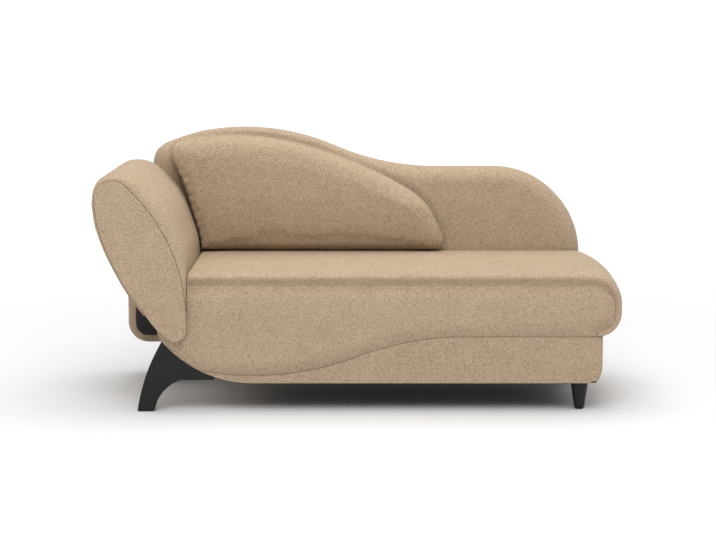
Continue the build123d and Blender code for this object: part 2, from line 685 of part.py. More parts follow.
def round_to_round(first, first_radius, second, second_radius, radius):
    """Arc on the left of two rounds, tangent to both: its first point, middle and last point."""
    across = (second[0] - first[0], second[1] - first[1])
    gap = sqrt(across[0] ** 2 + across[1] ** 2)
    near = radius - first_radius
    far = radius - second_radius
    along = (gap ** 2 + near ** 2 - far ** 2) / (2 * gap)
    aside = sqrt(near ** 2 - along ** 2)
    unit = (across[0] / gap, across[1] / gap)
    center = (first[0] + along * unit[0] + aside * unit[1],
              first[1] + along * unit[1] - aside * unit[0])
    first_angle = degrees(atan2(first[1] - center[1], first[0] - center[0])) % 360
    last_angle = degrees(atan2(second[1] - center[1], second[0] - center[0])) % 360
    return center, first_angle, last_angle


def lens_outline(grow, lift):
    """Lens of the head end, larger by a margin, with its crown lifted by another."""
    crown = lean_point(CROWN_ALONG, HEAD_GAP)
    crown = (crown[0], crown[1] + lift)
    tip = TIP_RADIUS + grow
    top = CROWN_RADIUS + grow
    left, tip_angle, crown_angle = round_to_round(pivot, tip, crown, top, LENS_OUTER_RADIUS)
    flank = (pivot[0] + tip, pivot[1] + LENS_FLANK)
    reach = (flank[0] - crown[0], crown[1] - flank[1])
    radius = (reach[0] ** 2 + reach[1] ** 2 - top ** 2) / (2 * (reach[0] - top))
    right = (flank[0] - radius, flank[1])
    right_angle = degrees(atan2(crown[1] - right[1], crown[0] - right[0]))
    return outline(
        flank,
        arc_step(right, radius, 0, right_angle),
        arc_step(crown, top, right_angle, crown_angle),
        arc_step(left, LENS_OUTER_RADIUS, crown_angle, tip_angle),
        arc_step(pivot, tip, tip_angle, 360),
    )


lens_face = lens_outline(0, 0)
cheek_face = lens_outline(-CHEEK_INSET, 0)
front_cheek = prism(cheek_face, y_cheek_front, y_cheek_inner)
rear_cheek = prism(cheek_face, y_rear_cheek_inner, y_rear_cheek_outer)
front_panel = prism(lens_face, y_front, y_cheek_front)
front_panel = fillet(edges_at(front_panel, y_front), LENS_PAD - 1)
rear_panel = prism(lens_outline(COVER_PROUD - HEAD_COVER - SEAT_FIT, 0), y_rear_cheek_outer, y_head_rear)

# Space round the pivot that the cover leaves free, so that it passes the legs as the head end turns
turning_space = Pos(*pivot) * Circle(COVER_LOW_RADIUS)


def lean_box(along_low, along_high, right_low, right_high):
    """Rectangle along the head end's lean."""
    corners = (lean_point(along_low, right_low), lean_point(along_low, right_high),
               lean_point(along_high, right_high), lean_point(along_high, right_low))
    return make_face(Polyline(*corners, close=True))


cover_side = lean_box(-CROWN_ALONG, CROWN_ALONG * 2, -CROWN_ALONG, INNER_BOARD_RIGHT)
cover_face = lens_outline(COVER_PROUD, CROWN_LIFT) - lens_outline(COVER_PROUD - HEAD_COVER, 0)
cover_face = (cover_face & cover_side) - turning_space
outer_cover = prism(cover_face, y_cheek_front, y_head_rear)

pad_x = x_seat_left - SEAT_TO_HEAD
pad_center = (pad_x - PAD_BULGE_RADIUS, PAD_FLANK_Z)
pad_low = z_nose + HEAD_GAP + SEAT_FIT
board_foot = lean_point(INNER_BOARD_LOW, INNER_BOARD_RIGHT)
pad_face = outline(
    (pad_x, pad_low),
    ((pad_x, PAD_FLANK_Z),),
    arc_step(pad_center, PAD_BULGE_RADIUS, 0, PAD_BULGE_TURN),
    (lean_point(CROWN_ALONG + CROWN_RADIUS, INNER_BOARD_RIGHT),),
    (board_foot,),
    ((board_foot[0], pad_low),),
)
inner_pad = prism(pad_face, y_cheek_front, y_head_rear)
for cheek_low, cheek_high in ((y_cheek_front, y_cheek_inner), (y_rear_cheek_inner, y_head_rear)):
    inner_pad -= prism(lens_outline(SEAT_FIT, 0), cheek_low, cheek_high)

inner_board = prism(lean_box(INNER_BOARD_LOW, INNER_BOARD_HIGH, INNER_BOARD_RIGHT - INNER_BOARD,
                             INNER_BOARD_RIGHT), y_cheek_inner, y_rear_cheek_inner)
rail_half = HEAD_RAIL / 2
head_rails = [
    prism(lean_box(along - rail_half, along + rail_half, right - rail_half, right + rail_half),
          y_cheek_inner, y_rear_cheek_inner)
    for along, right in HEAD_RAIL_PLACES
]

# Ratchet fittings, one between each cheek and its base board


def at_pivot(point):
    """Point given from the pivot, in the X Z plane."""
    return (pivot[0] + point[0], pivot[1] + point[1])


def layer(side, near, far):
    """Two Y planes of a fitting, counted from the base board's outer face."""
    face = y_base_front if side < 0 else y_base_rear
    return sorted((face + side * near, face + side * far))


gear_near = PLATE + LAYER_GAP
gear_far = gear_near + GEAR
arm_near = HINGE_GAP - ARM_PLATE


def sector_face():
    """Toothed sector: steep tooth faces look the way the head end would fall."""
    points = []
    for index in range(TEETH):
        steep = PAWL_ANGLE + TOOTH_PITCH * (index + 2 - TEETH)
        points.append(polar(pivot, TOOTH_ROOT, steep - TOOTH_PITCH))
        points.append(polar(pivot, TOOTH_TIP, steep - TOOTH_RAKE))
    points.append(polar(pivot, TOOTH_ROOT, PAWL_ANGLE + TOOTH_PITCH))
    teeth = make_face(Polyline(pivot, *points, close=True))
    return teeth + Pos(*pivot) * Circle(TOOTH_ROOT)


def hinge_arm(side):
    """Arm on the cheek, with its hub and toothed sector, bored for the pivot pin."""
    plate = lean_box(0, ARM_LENGTH, -ARM_HALF, ARM_HALF) + Pos(*pivot) * Circle(HUB_RADIUS)
    plate += Pos(*lean_point(ARM_LENGTH, 0)) * Circle(ARM_HALF)
    arm = prism(plate, *layer(side, arm_near, HINGE_GAP))
    arm += rod(pivot, HUB_RADIUS, *layer(side, gear_far, arm_near))
    arm += prism(sector_face(), *layer(side, gear_near, gear_far))
    arm -= rod(pivot, PIN_RADIUS + RUNNING, *layer(side, 0, HINGE_GAP))
    for along in ARM_SCREWS:
        arm -= rod(lean_point(along, 0), SCREW_RADIUS + RUNNING, *layer(side, arm_near, HINGE_GAP))
    return arm


def fixed_plate(side):
    """Plate on the base board, bored for both pins and its screws."""
    flat = Pos(*at_pivot((PLATE_SHIFT, 0))) * RectangleRounded(*PLATE_SIZE, HUB_RADIUS / 2)
    plate = prism(flat, *layer(side, 0, PLATE))
    plate -= rod(pivot, PIN_RADIUS + RUNNING, *layer(side, 0, PLATE))
    plate -= rod(at_pivot(PAWL_PIVOT), PAWL_PIN_RADIUS + RUNNING, *layer(side, 0, PLATE))
    for place in PLATE_SCREWS:
        plate -= rod(at_pivot(place), SCREW_RADIUS + RUNNING, *layer(side, 0, PLATE))
    return plate


def pawl(side):
    """Pawl with one tooth, drawn engaged and then swung to its held-off place."""
    hinge = at_pivot(PAWL_PIVOT)
    toe = at_pivot(PAWL_TOE)
    run = (hinge[0] - toe[0], hinge[1] - toe[1])
    length = sqrt(run[0] ** 2 + run[1] ** 2)
    across = (run[1] / length * PAWL_HALF, -run[0] / length * PAWL_HALF)
    bar = make_face(Polyline(
        (toe[0] - across[0], toe[1] - across[1]), (toe[0] + across[0], toe[1] + across[1]),
        (hinge[0] + across[0], hinge[1] + across[1]), (hinge[0] - across[0], hinge[1] - across[1]),
        close=True))
    tip_radius = TOOTH_ROOT + PAWL_TIP_GAP
    tip_near, tip_far = (polar(pivot, tip_radius, PAWL_ANGLE + turn) for turn in PAWL_TOOTH_TIP)
    root_near, root_far = (polar(pivot, PAWL_TOE[0], PAWL_ANGLE + turn) for turn in PAWL_TOOTH_ROOT)
    tooth = make_face(Polyline(tip_near, root_near, root_far, tip_far, close=True))
    flat = bar + tooth + Pos(*hinge) * Circle(PAWL_HALF) + Pos(*toe) * Circle(PAWL_HALF)
    flat -= Pos(*hinge) * Circle(PAWL_PIN_RADIUS + RUNNING)
    held_off = Pos(*hinge) * Rot(0, 0, PAWL_SWING) * Pos(-hinge[0], -hinge[1]) * flat
    return prism(held_off, *layer(side, gear_near, gear_far))


def pawl_spring(side):
    """Leaf spring on an upstand of the plate, leaning on the back of the pawl."""
    top = (PAWL_PIVOT[0] + PAWL_HALF * 2, PAWL_PIVOT[1] - PAWL_HALF)
    low = (PAWL_TOE[0] + SPRING_FOOT[0], PAWL_TOE[1] + SPRING_FOOT[1])
    leaf = make_face(Polyline(at_pivot(top), at_pivot((top[0] + SPRING, top[1])),
                              at_pivot((low[0] + SPRING, low[1])), at_pivot(low), close=True))
    upstand_at = at_pivot((top[0] + PAWL_HALF / 2, top[1] + PAWL_HALF / 2))
    upstand = Pos(*upstand_at) * Rectangle(PAWL_HALF, PAWL_HALF)
    return prism(leaf, *layer(side, gear_near, gear_far)) + prism(upstand, *layer(side, PLATE, gear_far))


def screw(side, place, head_near, shank_far, sense):
    """Wood screw along Y with a flat head on the near side."""
    shank = rod(place, SCREW_RADIUS, *layer(side, head_near, shank_far))
    return shank + rod(place, SCREW_HEAD_RADIUS, *layer(side, head_near, head_near + sense * SCREW_HEAD))


sides = {"front": -1, "rear": 1}
for name, side in sides.items():
    nodes[f"hinge_arm_{name}"] = hinge_arm(side)
    nodes[f"hinge_plate_{name}"] = fixed_plate(side)
    nodes[f"pawl_{name}"] = pawl(side)
    nodes[f"pawl_spring_{name}"] = pawl_spring(side)
nodes["pivot_pins"] = group(rod(pivot, PIN_RADIUS, *layer(side, 0, HINGE_GAP - LAYER_GAP))
                            for side in sides.values())
nodes["pawl_pins"] = group(rod(at_pivot(PAWL_PIVOT), PAWL_PIN_RADIUS, *layer(side, 0, gear_far))
                           for side in sides.values())
nodes["plate_screws"] = group(screw(side, at_pivot(place), PLATE, -SCREW_LENGTH, 1)
                              for side in sides.values() for place in PLATE_SCREWS)
nodes["arm_screws"] = group(screw(side, lean_point(along, 0), arm_near, HINGE_GAP + SCREW_LENGTH, -1)
                            for side in sides.values() for along in ARM_SCREWS)

for place in PLATE_SCREWS:
    front_board -= rod(at_pivot(place), SCREW_RADIUS + RUNNING, *layer(-1, 0, -SCREW_LENGTH))
    rear_board -= rod(at_pivot(place), SCREW_RADIUS + RUNNING, *layer(1, 0, -SCREW_LENGTH))
for along in ARM_SCREWS:
    hole_place = lean_point(along, 0)
    front_cheek -= rod(hole_place, SCREW_RADIUS + RUNNING, *layer(-1, HINGE_GAP, HINGE_GAP + SCREW_LENGTH))
    rear_cheek -= rod(hole_place, SCREW_RADIUS + RUNNING, *layer(1, HINGE_GAP, HINGE_GAP + SCREW_LENGTH))

# The apron is hollowed behind for the fitting and pierced for its hub
fitting_room = Rectangle(PLATE_SIZE[0] + HEAD_GAP * 2, PLATE_SIZE[1] + HEAD_GAP)
apron -= prism(Pos(*at_pivot((PLATE_SHIFT, 0))) * fitting_room, *layer(-1, 0, gear_far + FITTING_AIR))
apron -= rod(pivot, HUB_RADIUS + HEAD_GAP, *layer(-1, 0, APRON))

nodes.update({
    "base_front_board": front_board,
    "base_rear_board": rear_board,
    "base_right_board": right_board,
    "base_left_panel": left_panel,
    "seat_left_rail": left_rail,
    "cross_rails": group(cross_rails),
    "corner_blocks": group(corner_blocks),
    "leg_blocks": group(leg_blocks),
    "dust_cover": dust_cover,
    "seat_webbing_cross": group(web_cross),
    "seat_webbing_long": group(web_long),
    "seat_foam": seat_foam,
    "end_roll_foam": end_foam,
    "seat_pad": seat_pad,
    "front_apron": apron,
    "plinth_cover": plinth_front,
    "plinth_end_cover": plinth_end,
    "back_board": back_board,
    "back_studs": group(studs),
    "back_pad": back_pad,
    "back_rear_pad": rear_pad,
    "back_spacers": group(spacers),
    "back_bolts": group(back_bolts),
    "back_cushion": cushion,
    "leg_front_left": legs[0],
    "leg_rear_left": legs[1],
    "foot_front_right": feet[0],
    "foot_rear_right": feet[1],
    "glides": group(glides),
    "leg_bolts": group(leg_bolts),
    "foot_bolts": group(foot_bolts),
    "head_front_cheek": front_cheek,
    "head_rear_cheek": rear_cheek,
    "head_rails": group(head_rails),
    "head_inner_board": inner_board,
    "head_inner_pad": inner_pad,
    "head_outer_cover": outer_cover,
    "head_front_panel": front_panel,
    "head_rear_panel": rear_panel,
})

os.makedirs("parts", exist_ok=True)
for name, solid in nodes.items():
    export_step(solid, f"parts/{name}.step")
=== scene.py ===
# %% [markdown]
# An upholstered lounger with a head end that folds down.
# The wooden box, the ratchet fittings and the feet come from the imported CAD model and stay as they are.
# What this lesson adds is what upholsterers add: the padded forms, their seams and creases, and finishes.

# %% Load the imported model
import bpy
import bmesh
import json
import math
import numpy as np
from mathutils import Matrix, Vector
from mathutils.geometry import delaunay_2d_cdt


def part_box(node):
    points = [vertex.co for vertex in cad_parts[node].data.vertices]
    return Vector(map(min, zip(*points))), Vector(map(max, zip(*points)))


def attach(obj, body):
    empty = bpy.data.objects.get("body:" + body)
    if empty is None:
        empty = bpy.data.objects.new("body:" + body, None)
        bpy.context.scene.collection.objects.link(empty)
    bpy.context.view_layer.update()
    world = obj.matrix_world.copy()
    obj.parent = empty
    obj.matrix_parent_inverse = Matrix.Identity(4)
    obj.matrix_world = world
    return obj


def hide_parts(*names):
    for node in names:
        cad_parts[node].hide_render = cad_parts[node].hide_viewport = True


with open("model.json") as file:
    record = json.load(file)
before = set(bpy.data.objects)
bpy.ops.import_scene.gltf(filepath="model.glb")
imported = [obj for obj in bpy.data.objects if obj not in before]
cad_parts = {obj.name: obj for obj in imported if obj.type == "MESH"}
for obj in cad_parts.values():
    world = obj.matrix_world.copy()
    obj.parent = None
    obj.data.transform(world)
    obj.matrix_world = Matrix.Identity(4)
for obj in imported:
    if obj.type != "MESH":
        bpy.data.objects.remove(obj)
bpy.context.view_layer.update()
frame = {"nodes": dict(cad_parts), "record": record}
nodes = frame["nodes"]

# %% [markdown]
# The camera. The lounger is seen from far away and a little above, straight from the front, so its long
# edges stay nearly parallel. A long lens from 6.7 m away, tilted down to the middle of the lounger, gives
# that view, and because nothing is shifted the other views stay centred too.

# %% Camera
IMAGE_WIDTH = 716
CAMERA_PLACE = (0.0, -6.670, 1.285)
CAMERA_TILT = 7.45
FOCAL_PIXELS = 2005
SENSOR = 36.0

camera_data = bpy.data.cameras.new("camera")
camera_data.sensor_width = SENSOR
camera_data.lens = FOCAL_PIXELS * SENSOR / IMAGE_WIDTH
camera = bpy.data.objects.new("camera", camera_data)
camera.location = CAMERA_PLACE
camera.rotation_euler = (math.radians(90 - CAMERA_TILT), 0, 0)
bpy.context.scene.collection.objects.link(camera)
bpy.context.scene.camera = camera
print("lens", round(camera_data.lens, 1), "mm")

# %% [markdown]
# Shader nodes can be laid out by hand, but formulas are easier to read as Python. This class wraps an output
# socket. Adding or multiplying wrapped sockets adds Math nodes, and the method called node makes any
# other node from its type, its settings and the values or links of its sockets.

# %% Sockets that can be added and multiplied
class Shade:
    """An output socket of a material, with arithmetic that builds Math nodes."""

    def __init__(self, tree, socket=None):
        self.tree = tree
        self.socket = socket

    def node(self, kind, settings, sockets, output=0):
        """Add a node, set it up, feed its sockets and return one of its outputs."""
        made = self.tree.nodes.new(kind)
        for name, value in settings.items():
            if name == "stops":
                set_stops(made.color_ramp, value)
            else:
                setattr(made, name, value)
        for name, value in sockets.items():
            plug(self.tree, made.inputs[name], value)
        return Shade(self.tree, made.outputs[output])

    def math(self, operation, first, second):
        return self.node("ShaderNodeMath", {"operation": operation}, {0: first, 1: second})

    def __add__(self, other):
        return self.math("ADD", self, other)

    def __radd__(self, other):
        return self.math("ADD", other, self)

    def __sub__(self, other):
        return self.math("SUBTRACT", self, other)

    def __rsub__(self, other):
        return self.math("SUBTRACT", other, self)

    def __mul__(self, other):
        return self.math("MULTIPLY", self, other)

    def __rmul__(self, other):
        return self.math("MULTIPLY", other, self)


def plug(tree, socket, value):
    """Link a wrapped socket, or set a plain value."""
    if isinstance(value, Shade):
        tree.links.new(value.socket, socket)
    else:
        socket.default_value = value


def set_stops(colours, stops):
    """Place the stops of a colour ramp: pairs of position and grey value."""
    while len(colours.elements) < len(stops):
        colours.elements.new(1.0)
    for element, (position, grey) in zip(colours.elements, stops):
        element.position = position
        element.color = (grey, grey, grey, 1)


print("sockets ready")

# %% [markdown]
# The finishes share a few nodes: a noise, a stretched place that turns a noise into streaks, a ramp that
# sharpens it, a mix of two colours and a bump. Each gets a short function, and dress feeds the result to the
# shader.

# %% Nodes that the finishes share
def new_material(name):
    """Material with an empty principled shader; returns the material, its shader and a place to start."""
    material = bpy.data.materials.new(name)
    material.use_nodes = True
    tree = material.node_tree
    shader = tree.nodes["Principled BSDF"]
    place = Shade(tree).node("ShaderNodeTexCoord", {}, {}, output="Object")
    return material, shader, place


def noise(place, scale, detail=2.0, rough=0.5):
    """Noise value between 0 and 1."""
    return place.node("ShaderNodeTexNoise", {}, {"Vector": place, "Scale": scale, "Detail": detail,
                                                 "Roughness": rough}, output="Fac")


def stretched(place, scale):
    """The place scaled by its own amount along each axis."""
    return place.node("ShaderNodeMapping", {}, {"Vector": place, "Scale": scale})


def ramp(value, *stops):
    """Grey value through a colour ramp."""
    return value.node("ShaderNodeValToRGB", {"stops": stops}, {"Fac": value})


def blend_colours(factor, first, second):
    """Mix node between two colours."""
    return factor.node("ShaderNodeMix", {"data_type": "RGBA"}, {0: factor, 6: first, 7: second}, output=2)


def bump(height, strength, distance):
    """Bump node for a height in 0 to 1."""
    return height.node("ShaderNodeBump", {}, {"Height": height, "Strength": strength, "Distance": distance})


def dress(shader, colour, roughness, normal=None):
    """Feed a shader's colour and roughness and, where given, its normal."""
    sockets = {"Base Color": colour, "Roughness": roughness}
    if normal is not None:
        sockets["Normal"] = normal
    for name, value in sockets.items():
        plug(shader.id_data, shader.inputs[name], value)


print("shader helpers ready")

# %% [markdown]
# The cover is a soft woven fabric with small curled loops in several beiges, so that from a step away it
# looks speckled. An image of cloth could be used, but a formula keeps its scale on every piece: a cell
# texture gives the loops and their yarns, a fine noise breaks them up, and a wide, weak noise keeps large
# areas lively. A little sheen in a yarn colour stands for the fuzz that brightens the edges of such cloth.

# %% Upholstery fabric
YARN_LIGHT = (0.56, 0.425, 0.295, 1)
YARN_DARK = (0.165, 0.115, 0.072, 1)
YARN_MIDDLE = (0.375, 0.275, 0.184, 1)
YARN_SHEEN = (0.90, 0.74, 0.55, 1)
YARN_SHARES = ((0.22, 0.0), (0.5, 0.55), (0.78, 1.0))
LOOPS_PER_METRE = 450.0
SPECKLES_PER_METRE = 600.0
PATCHES_PER_METRE = 9.0

upholstery, shader, place = new_material("speckled_upholstery")
cells = {"Vector": place, "Scale": LOOPS_PER_METRE}
from_loop = place.node("ShaderNodeTexVoronoi", {"feature": "F1"}, cells, output="Distance")
chance = place.node("ShaderNodeTexVoronoi", {"feature": "F1"}, cells, output="Color")
speckle = noise(place, SPECKLES_PER_METRE, 2.0, 0.6)
patches = noise(place, PATCHES_PER_METRE, 2.0)
yarn = ramp(chance * 0.6 + speckle * 0.4, *YARN_SHARES)
dark_side = blend_colours(yarn, YARN_DARK, YARN_MIDDLE)
colour = blend_colours(yarn * 0.8 + patches * 0.2, dark_side, YARN_LIGHT)
loop_height = (1 - from_loop) * 0.7 + speckle * 0.3
dress(shader, colour, 0.82 + speckle * 0.15, bump(loop_height, 0.8, 0.0022))
shader.inputs["Sheen Weight"].default_value = 0.22
shader.inputs["Sheen Tint"].default_value = YARN_SHEEN
shader.inputs["Sheen Roughness"].default_value = 0.6
shader.inputs["Specular IOR Level"].default_value = 0.2
print("made", upholstery.name)

# %% [markdown]
# The legs and feet are wood under a black satin lacquer. The lacquer is even, so only a faint cloudiness and
# a fine unevenness of the surface tell it from plastic.

# %% Black satin lacquer
LACQUER = ((0.006, 0.006, 0.006, 1), (0.011, 0.011, 0.011, 1))

lacquer, shader, place = new_material("black_satin_lacquer")
clouds = noise(place, 14.0, 3.0)
grain = noise(stretched(place, (40.0, 40.0, 6.0)), 9.0, 4.0)
dress(shader, blend_colours(clouds, *LACQUER), 0.36 + clouds * 0.12, bump(grain, 0.08, 0.0004))
shader.inputs["Specular IOR Level"].default_value = 0.3
print("made", lacquer.name)

# %% [markdown]
# Under the cover there is raw timber, zinc-plated steel, black non-woven cloth, woven webbing and plastic
# glides. They show only from below or with the head end folded down, so each gets one telling detail: growth
# rings, brushing, fibres, a weave or a moulded grain.

# %% Finishes of the hidden pieces
TIMBER = ((0.45, 0.30, 0.16, 1), (0.66, 0.49, 0.30, 1))
ZINC = ((0.50, 0.50, 0.49, 1), (0.70, 0.70, 0.67, 1))
BLACK_FIBRES = ((0.012, 0.012, 0.012, 1), (0.045, 0.045, 0.045, 1))
GREY_YARNS = ((0.06, 0.055, 0.05, 1), (0.16, 0.15, 0.14, 1))
BLACK_PLASTIC = ((0.02, 0.02, 0.02, 1), (0.035, 0.035, 0.035, 1))

timber, shader, place = new_material("raw_timber")
growth = noise(stretched(place, (3.0, 30.0, 30.0)), 3.0, 4.0, 0.6)
dress(shader, blend_colours(ramp(growth, (0.3, 0.0), (0.7, 1.0)), *TIMBER), 0.55 + growth * 0.25,
      bump(growth, 0.2, 0.0008))

steel, shader, place = new_material("zinc_plated_steel")
brushing = noise(stretched(place, (60.0, 60.0, 900.0)), 1.0, 3.0)
dress(shader, blend_colours(noise(place, 120.0, 2.0), *ZINC), 0.28 + brushing * 0.22)
shader.inputs["Metallic"].default_value = 1.0

dust_cloth, shader, place = new_material("black_non_woven")
fibres = noise(place, 700.0, 4.0, 0.7)
dress(shader, blend_colours(fibres, *BLACK_FIBRES), 0.8 + fibres * 0.15, bump(fibres, 0.4, 0.0006))

webbing, shader, place = new_material("woven_webbing")
weave = place.node("ShaderNodeTexChecker", {}, {"Vector": place, "Scale": 500.0}, output="Fac")
dress(shader, blend_colours(weave, *GREY_YARNS), 0.75 + weave * 0.1)

glide, shader, place = new_material("black_glide_plastic")
moulded = noise(place, 900.0, 2.0)
dress(shader, blend_colours(moulded, *BLACK_PLASTIC), 0.5 + moulded * 0.15)
print("made", [made.name for made in (timber, steel, dust_cloth, webbing, glide)])

# %% [markdown]
# The record names a slot for each piece of the CAD model, so the finishes are handed out by slot. Two boards
# at the ends of the box are timber, but they are finished as if covered with the fabric.

# %% Finishes by slot
finishes = {"upholstery": upholstery, "foam": upholstery, "webbing": webbing, "timber": timber,
            "black_wood": lacquer, "steel": steel, "dust_cloth": dust_cloth, "glide": glide}
for part in frame["record"]["subparts"]:
    mesh = nodes[part["node"]].data
    mesh.materials.clear()
    mesh.materials.append(finishes[part["material_slot"]])
for covered in ("base_left_panel", "base_right_board"):
    nodes[covered].data.materials[0] = upholstery
print("finishes", sorted(finishes))

# %% [markdown]
# Most of the pads start from an outline in the X Z plane. The CAD pieces already have those outlines as flat
# faces, so they are read from there: the sides that belong to one triangle only are the rim of the face.

# %% Outlines of the CAD pieces
SAME_PLANE = 1e-4


def free_sides(faces):
    """Sides that belong to one face only, each in the sense of that face."""
    used = {}
    for face in faces:
        for first, second in zip(face, face[1:] + face[:1]):
            used.setdefault(frozenset((first, second)), []).append((first, second))
    return [sides[0] for sides in used.values() if len(sides) == 1]


def turned_left(loop):
    """The loop in the counter-clockwise sense, X to the right and Z up."""
    x, z = loop.T
    area = np.dot(x, np.roll(z, -1)) - np.dot(z, np.roll(x, -1))
    return loop if area > 0 else loop[::-1]


def cad_outline(node, y):
    """Longest rim of a CAD node's flat face in the plane y, as (x, z) points."""
    mesh = nodes[node].data
    faces = []
    for polygon in mesh.polygons:
        corners = [mesh.vertices[index].co for index in polygon.vertices]
        if all(abs(corner.y - y) < SAME_PLANE for corner in corners):
            faces.append([(round(corner.x, 5), round(corner.z, 5)) for corner in corners])
    follow = dict(free_sides(faces))
    loops = []
    while follow:
        start, here = next(iter(follow.items()))
        loop = [start]
        del follow[start]
        while here != start:
            loop.append(here)
            here = follow.pop(here)
        loops.append(np.array(loop))
    longest = max(loops, key=lambda loop: np.linalg.norm(np.diff(loop, axis=0), axis=1).sum())
    return turned_left(longest)


print("outline of the apron", len(cad_outline("front_apron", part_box("front_apron")[1].y)), "points")

# %% [markdown]
# The outlines are lines of (x, z) points. These helpers are for the lines themselves: lengths and even
# spacing, directions to the inside, and a smooth curve through points that are set by hand.

# %% Lines
def lengths_along(line):
    """Length of the line from its start to each of its points."""
    return np.r_[0, np.cumsum(np.linalg.norm(np.diff(line, axis=0), axis=1))]


def points_at(line, lengths, at):
    """Points of a line at given lengths from its start."""
    return np.c_[np.interp(at, lengths, line[:, 0]), np.interp(at, lengths, line[:, 1])]


def resample(loop, step):
    """Evenly spaced points round a closed loop."""
    closed = np.vstack([loop, loop[:1]])
    lengths = lengths_along(closed)
    count = max(12, round(lengths[-1] / step))
    return points_at(closed, lengths, np.linspace(0, lengths[-1], count, endpoint=False))


def left_of(courses):
    """Unit vectors to the left of given directions."""
    return np.c_[-courses[:, 1], courses[:, 0]] / np.linalg.norm(courses, axis=1)[:, None]


def loop_inward(loop):
    """Directions to the inside of a closed counter-clockwise loop."""
    return left_of(np.roll(loop, -1, 0) - np.roll(loop, 1, 0))


def line_inward(line):
    """Directions to the left of an open line's course."""
    return left_of(np.gradient(line, axis=0))


def smooth_loop(corners, per_side=24):
    """Closed curve through given points (a Catmull-Rom spline)."""
    corners = np.array(corners)
    before, after, beyond = np.roll(corners, 1, 0), np.roll(corners, -1, 0), np.roll(corners, -2, 0)
    t = np.linspace(0, 1, per_side, endpoint=False)[:, None, None]
    curve = 0.5 * (2 * corners + (after - before) * t
                   + (2 * before - 5 * corners + 4 * after - beyond) * t ** 2
                   + (3 * corners - before - 3 * after + beyond) * t ** 3)
    return curve.transpose(1, 0, 2).reshape(-1, 2)


print("line helpers ready")

# %% [markdown]
# Two more helpers tell where a point lies: its distance from a line, which sets how full the padding is
# there, and whether it is inside a loop. A point is inside if a ray to its right crosses the loop an odd
# number of times.

# %% Distances
def edge_distance(points, line, closed=True):
    """Distance of each point from a closed or an open line."""
    side = np.roll(line, -1, axis=0) - line
    if not closed:
        side[-1] = 0
    square = np.maximum((side ** 2).sum(1), 1e-12)
    best = np.full(len(points), 1e9)
    for first, vector, length in zip(line, side, square):
        share = np.clip(((points - first) @ vector) / length, 0, 1)
        best = np.minimum(best, np.linalg.norm(points - first - share[:, None] * vector, axis=1))
    return best


def inside(points, loop):
    """Which points lie inside a closed loop."""
    x, z = points.T
    hit = np.zeros(len(points), bool)
    for (x0, z0), (x1, z1) in zip(loop, np.roll(loop, -1, axis=0)):
        if z0 != z1:
            crosses = (z0 > z) != (z1 > z)
            hit ^= crosses & (x < (x1 - x0) * (z - z0) / (z1 - z0) + x0)
    return hit


print("distance helpers ready")

# %% [markdown]
# Each soft piece becomes one mesh object with smooth shading. Its normals are turned outwards, it rides on a
# body of the CAD model, and it gets the upholstery fabric as its finish.

# %% Pieces from points
SHARP_ANGLE = math.radians(38)


def new_piece(name, points, faces, body):
    """Upholstered mesh object that rides on a body, with smooth shading and outward normals."""
    mesh = bpy.data.meshes.new(name)
    mesh.from_pydata([tuple(point) for point in points], [], faces)
    builder = bmesh.new()
    builder.from_mesh(mesh)
    bmesh.ops.recalc_face_normals(builder, faces=builder.faces)
    builder.to_mesh(mesh)
    builder.free()
    mesh.materials.append(upholstery)
    mesh.shade_smooth()
    mesh.set_sharp_from_angle(angle=SHARP_ANGLE)
    piece = bpy.data.objects.new(name, mesh)
    bpy.context.scene.collection.objects.link(piece)
    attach(piece, body)
    print(name, len(mesh.vertices), "points")
    return piece


def tube(name, rows, body):
    """Closed tube through rows of points, each row a closed ring."""
    around = len(rows[0])
    faces = []
    for step in range(len(rows) - 1):
        for index in range(around):
            turn = (index + 1) % around
            faces.append((step * around + index, step * around + turn,
                          (step + 1) * around + turn, (step + 1) * around + index))
    faces.append(tuple(range(around))[::-1])
    last = (len(rows) - 1) * around
    faces.append(tuple(range(last, last + around)))
    return new_piece(name, np.vstack(rows), faces, body)


print("edges sharper than", round(math.degrees(SHARP_ANGLE)), "degrees stay sharp")

# %% [markdown]
# A padded panel is a closed form between two heights, front and rear, that follow mostly from how far a
# point lies from the rim. A subdivided box could be pushed into shape by hand, but a height by distance gives
# a rim the same rounding all round, even along a wave. Rings of points near the rim and a coarser grid inside
# are joined into triangles by a Delaunay triangulation. Where another piece presses in, more rings follow its
# outline.

# %% Padded panels
EDGE_STEP = 0.007
RINGS = (0.0008, 0.0025, 0.005, 0.008, 0.012, 0.017, 0.023, 0.031, 0.041, 0.054)
GRID_PITCH = 0.018
PRESSED_RINGS = (-0.012, -0.006, -0.002, 0.002, 0.005, 0.008, 0.011, 0.015, 0.019, 0.024)
PRESSED_CLEAR = 0.004


def panel_points(rim, pressed_by):
    """Flat points of a panel: its rim, rings inside it, rings along a pressed line and a grid."""
    flat = [rim]
    for depth in RINGS:
        ring = rim + loop_inward(rim) * depth
        flat.append(ring[inside(ring, rim) & (edge_distance(ring, rim) > 0.9 * depth)])
    if pressed_by is not None:
        line = resample(pressed_by, EDGE_STEP)
        for depth in PRESSED_RINGS:
            ring = line - loop_inward(line) * depth
            flat.append(ring[inside(ring, rim) & (edge_distance(ring, rim) > PRESSED_CLEAR)])
    low, high = rim.min(0), rim.max(0)
    x, z = np.meshgrid(np.arange(low[0], high[0], GRID_PITCH), np.arange(low[1], high[1], GRID_PITCH))
    grid = np.c_[x.ravel(), z.ravel()]
    grid = grid[inside(grid, rim)]
    flat.append(grid[edge_distance(grid, rim) > RINGS[-1] + GRID_PITCH / 2])
    return np.vstack(flat)


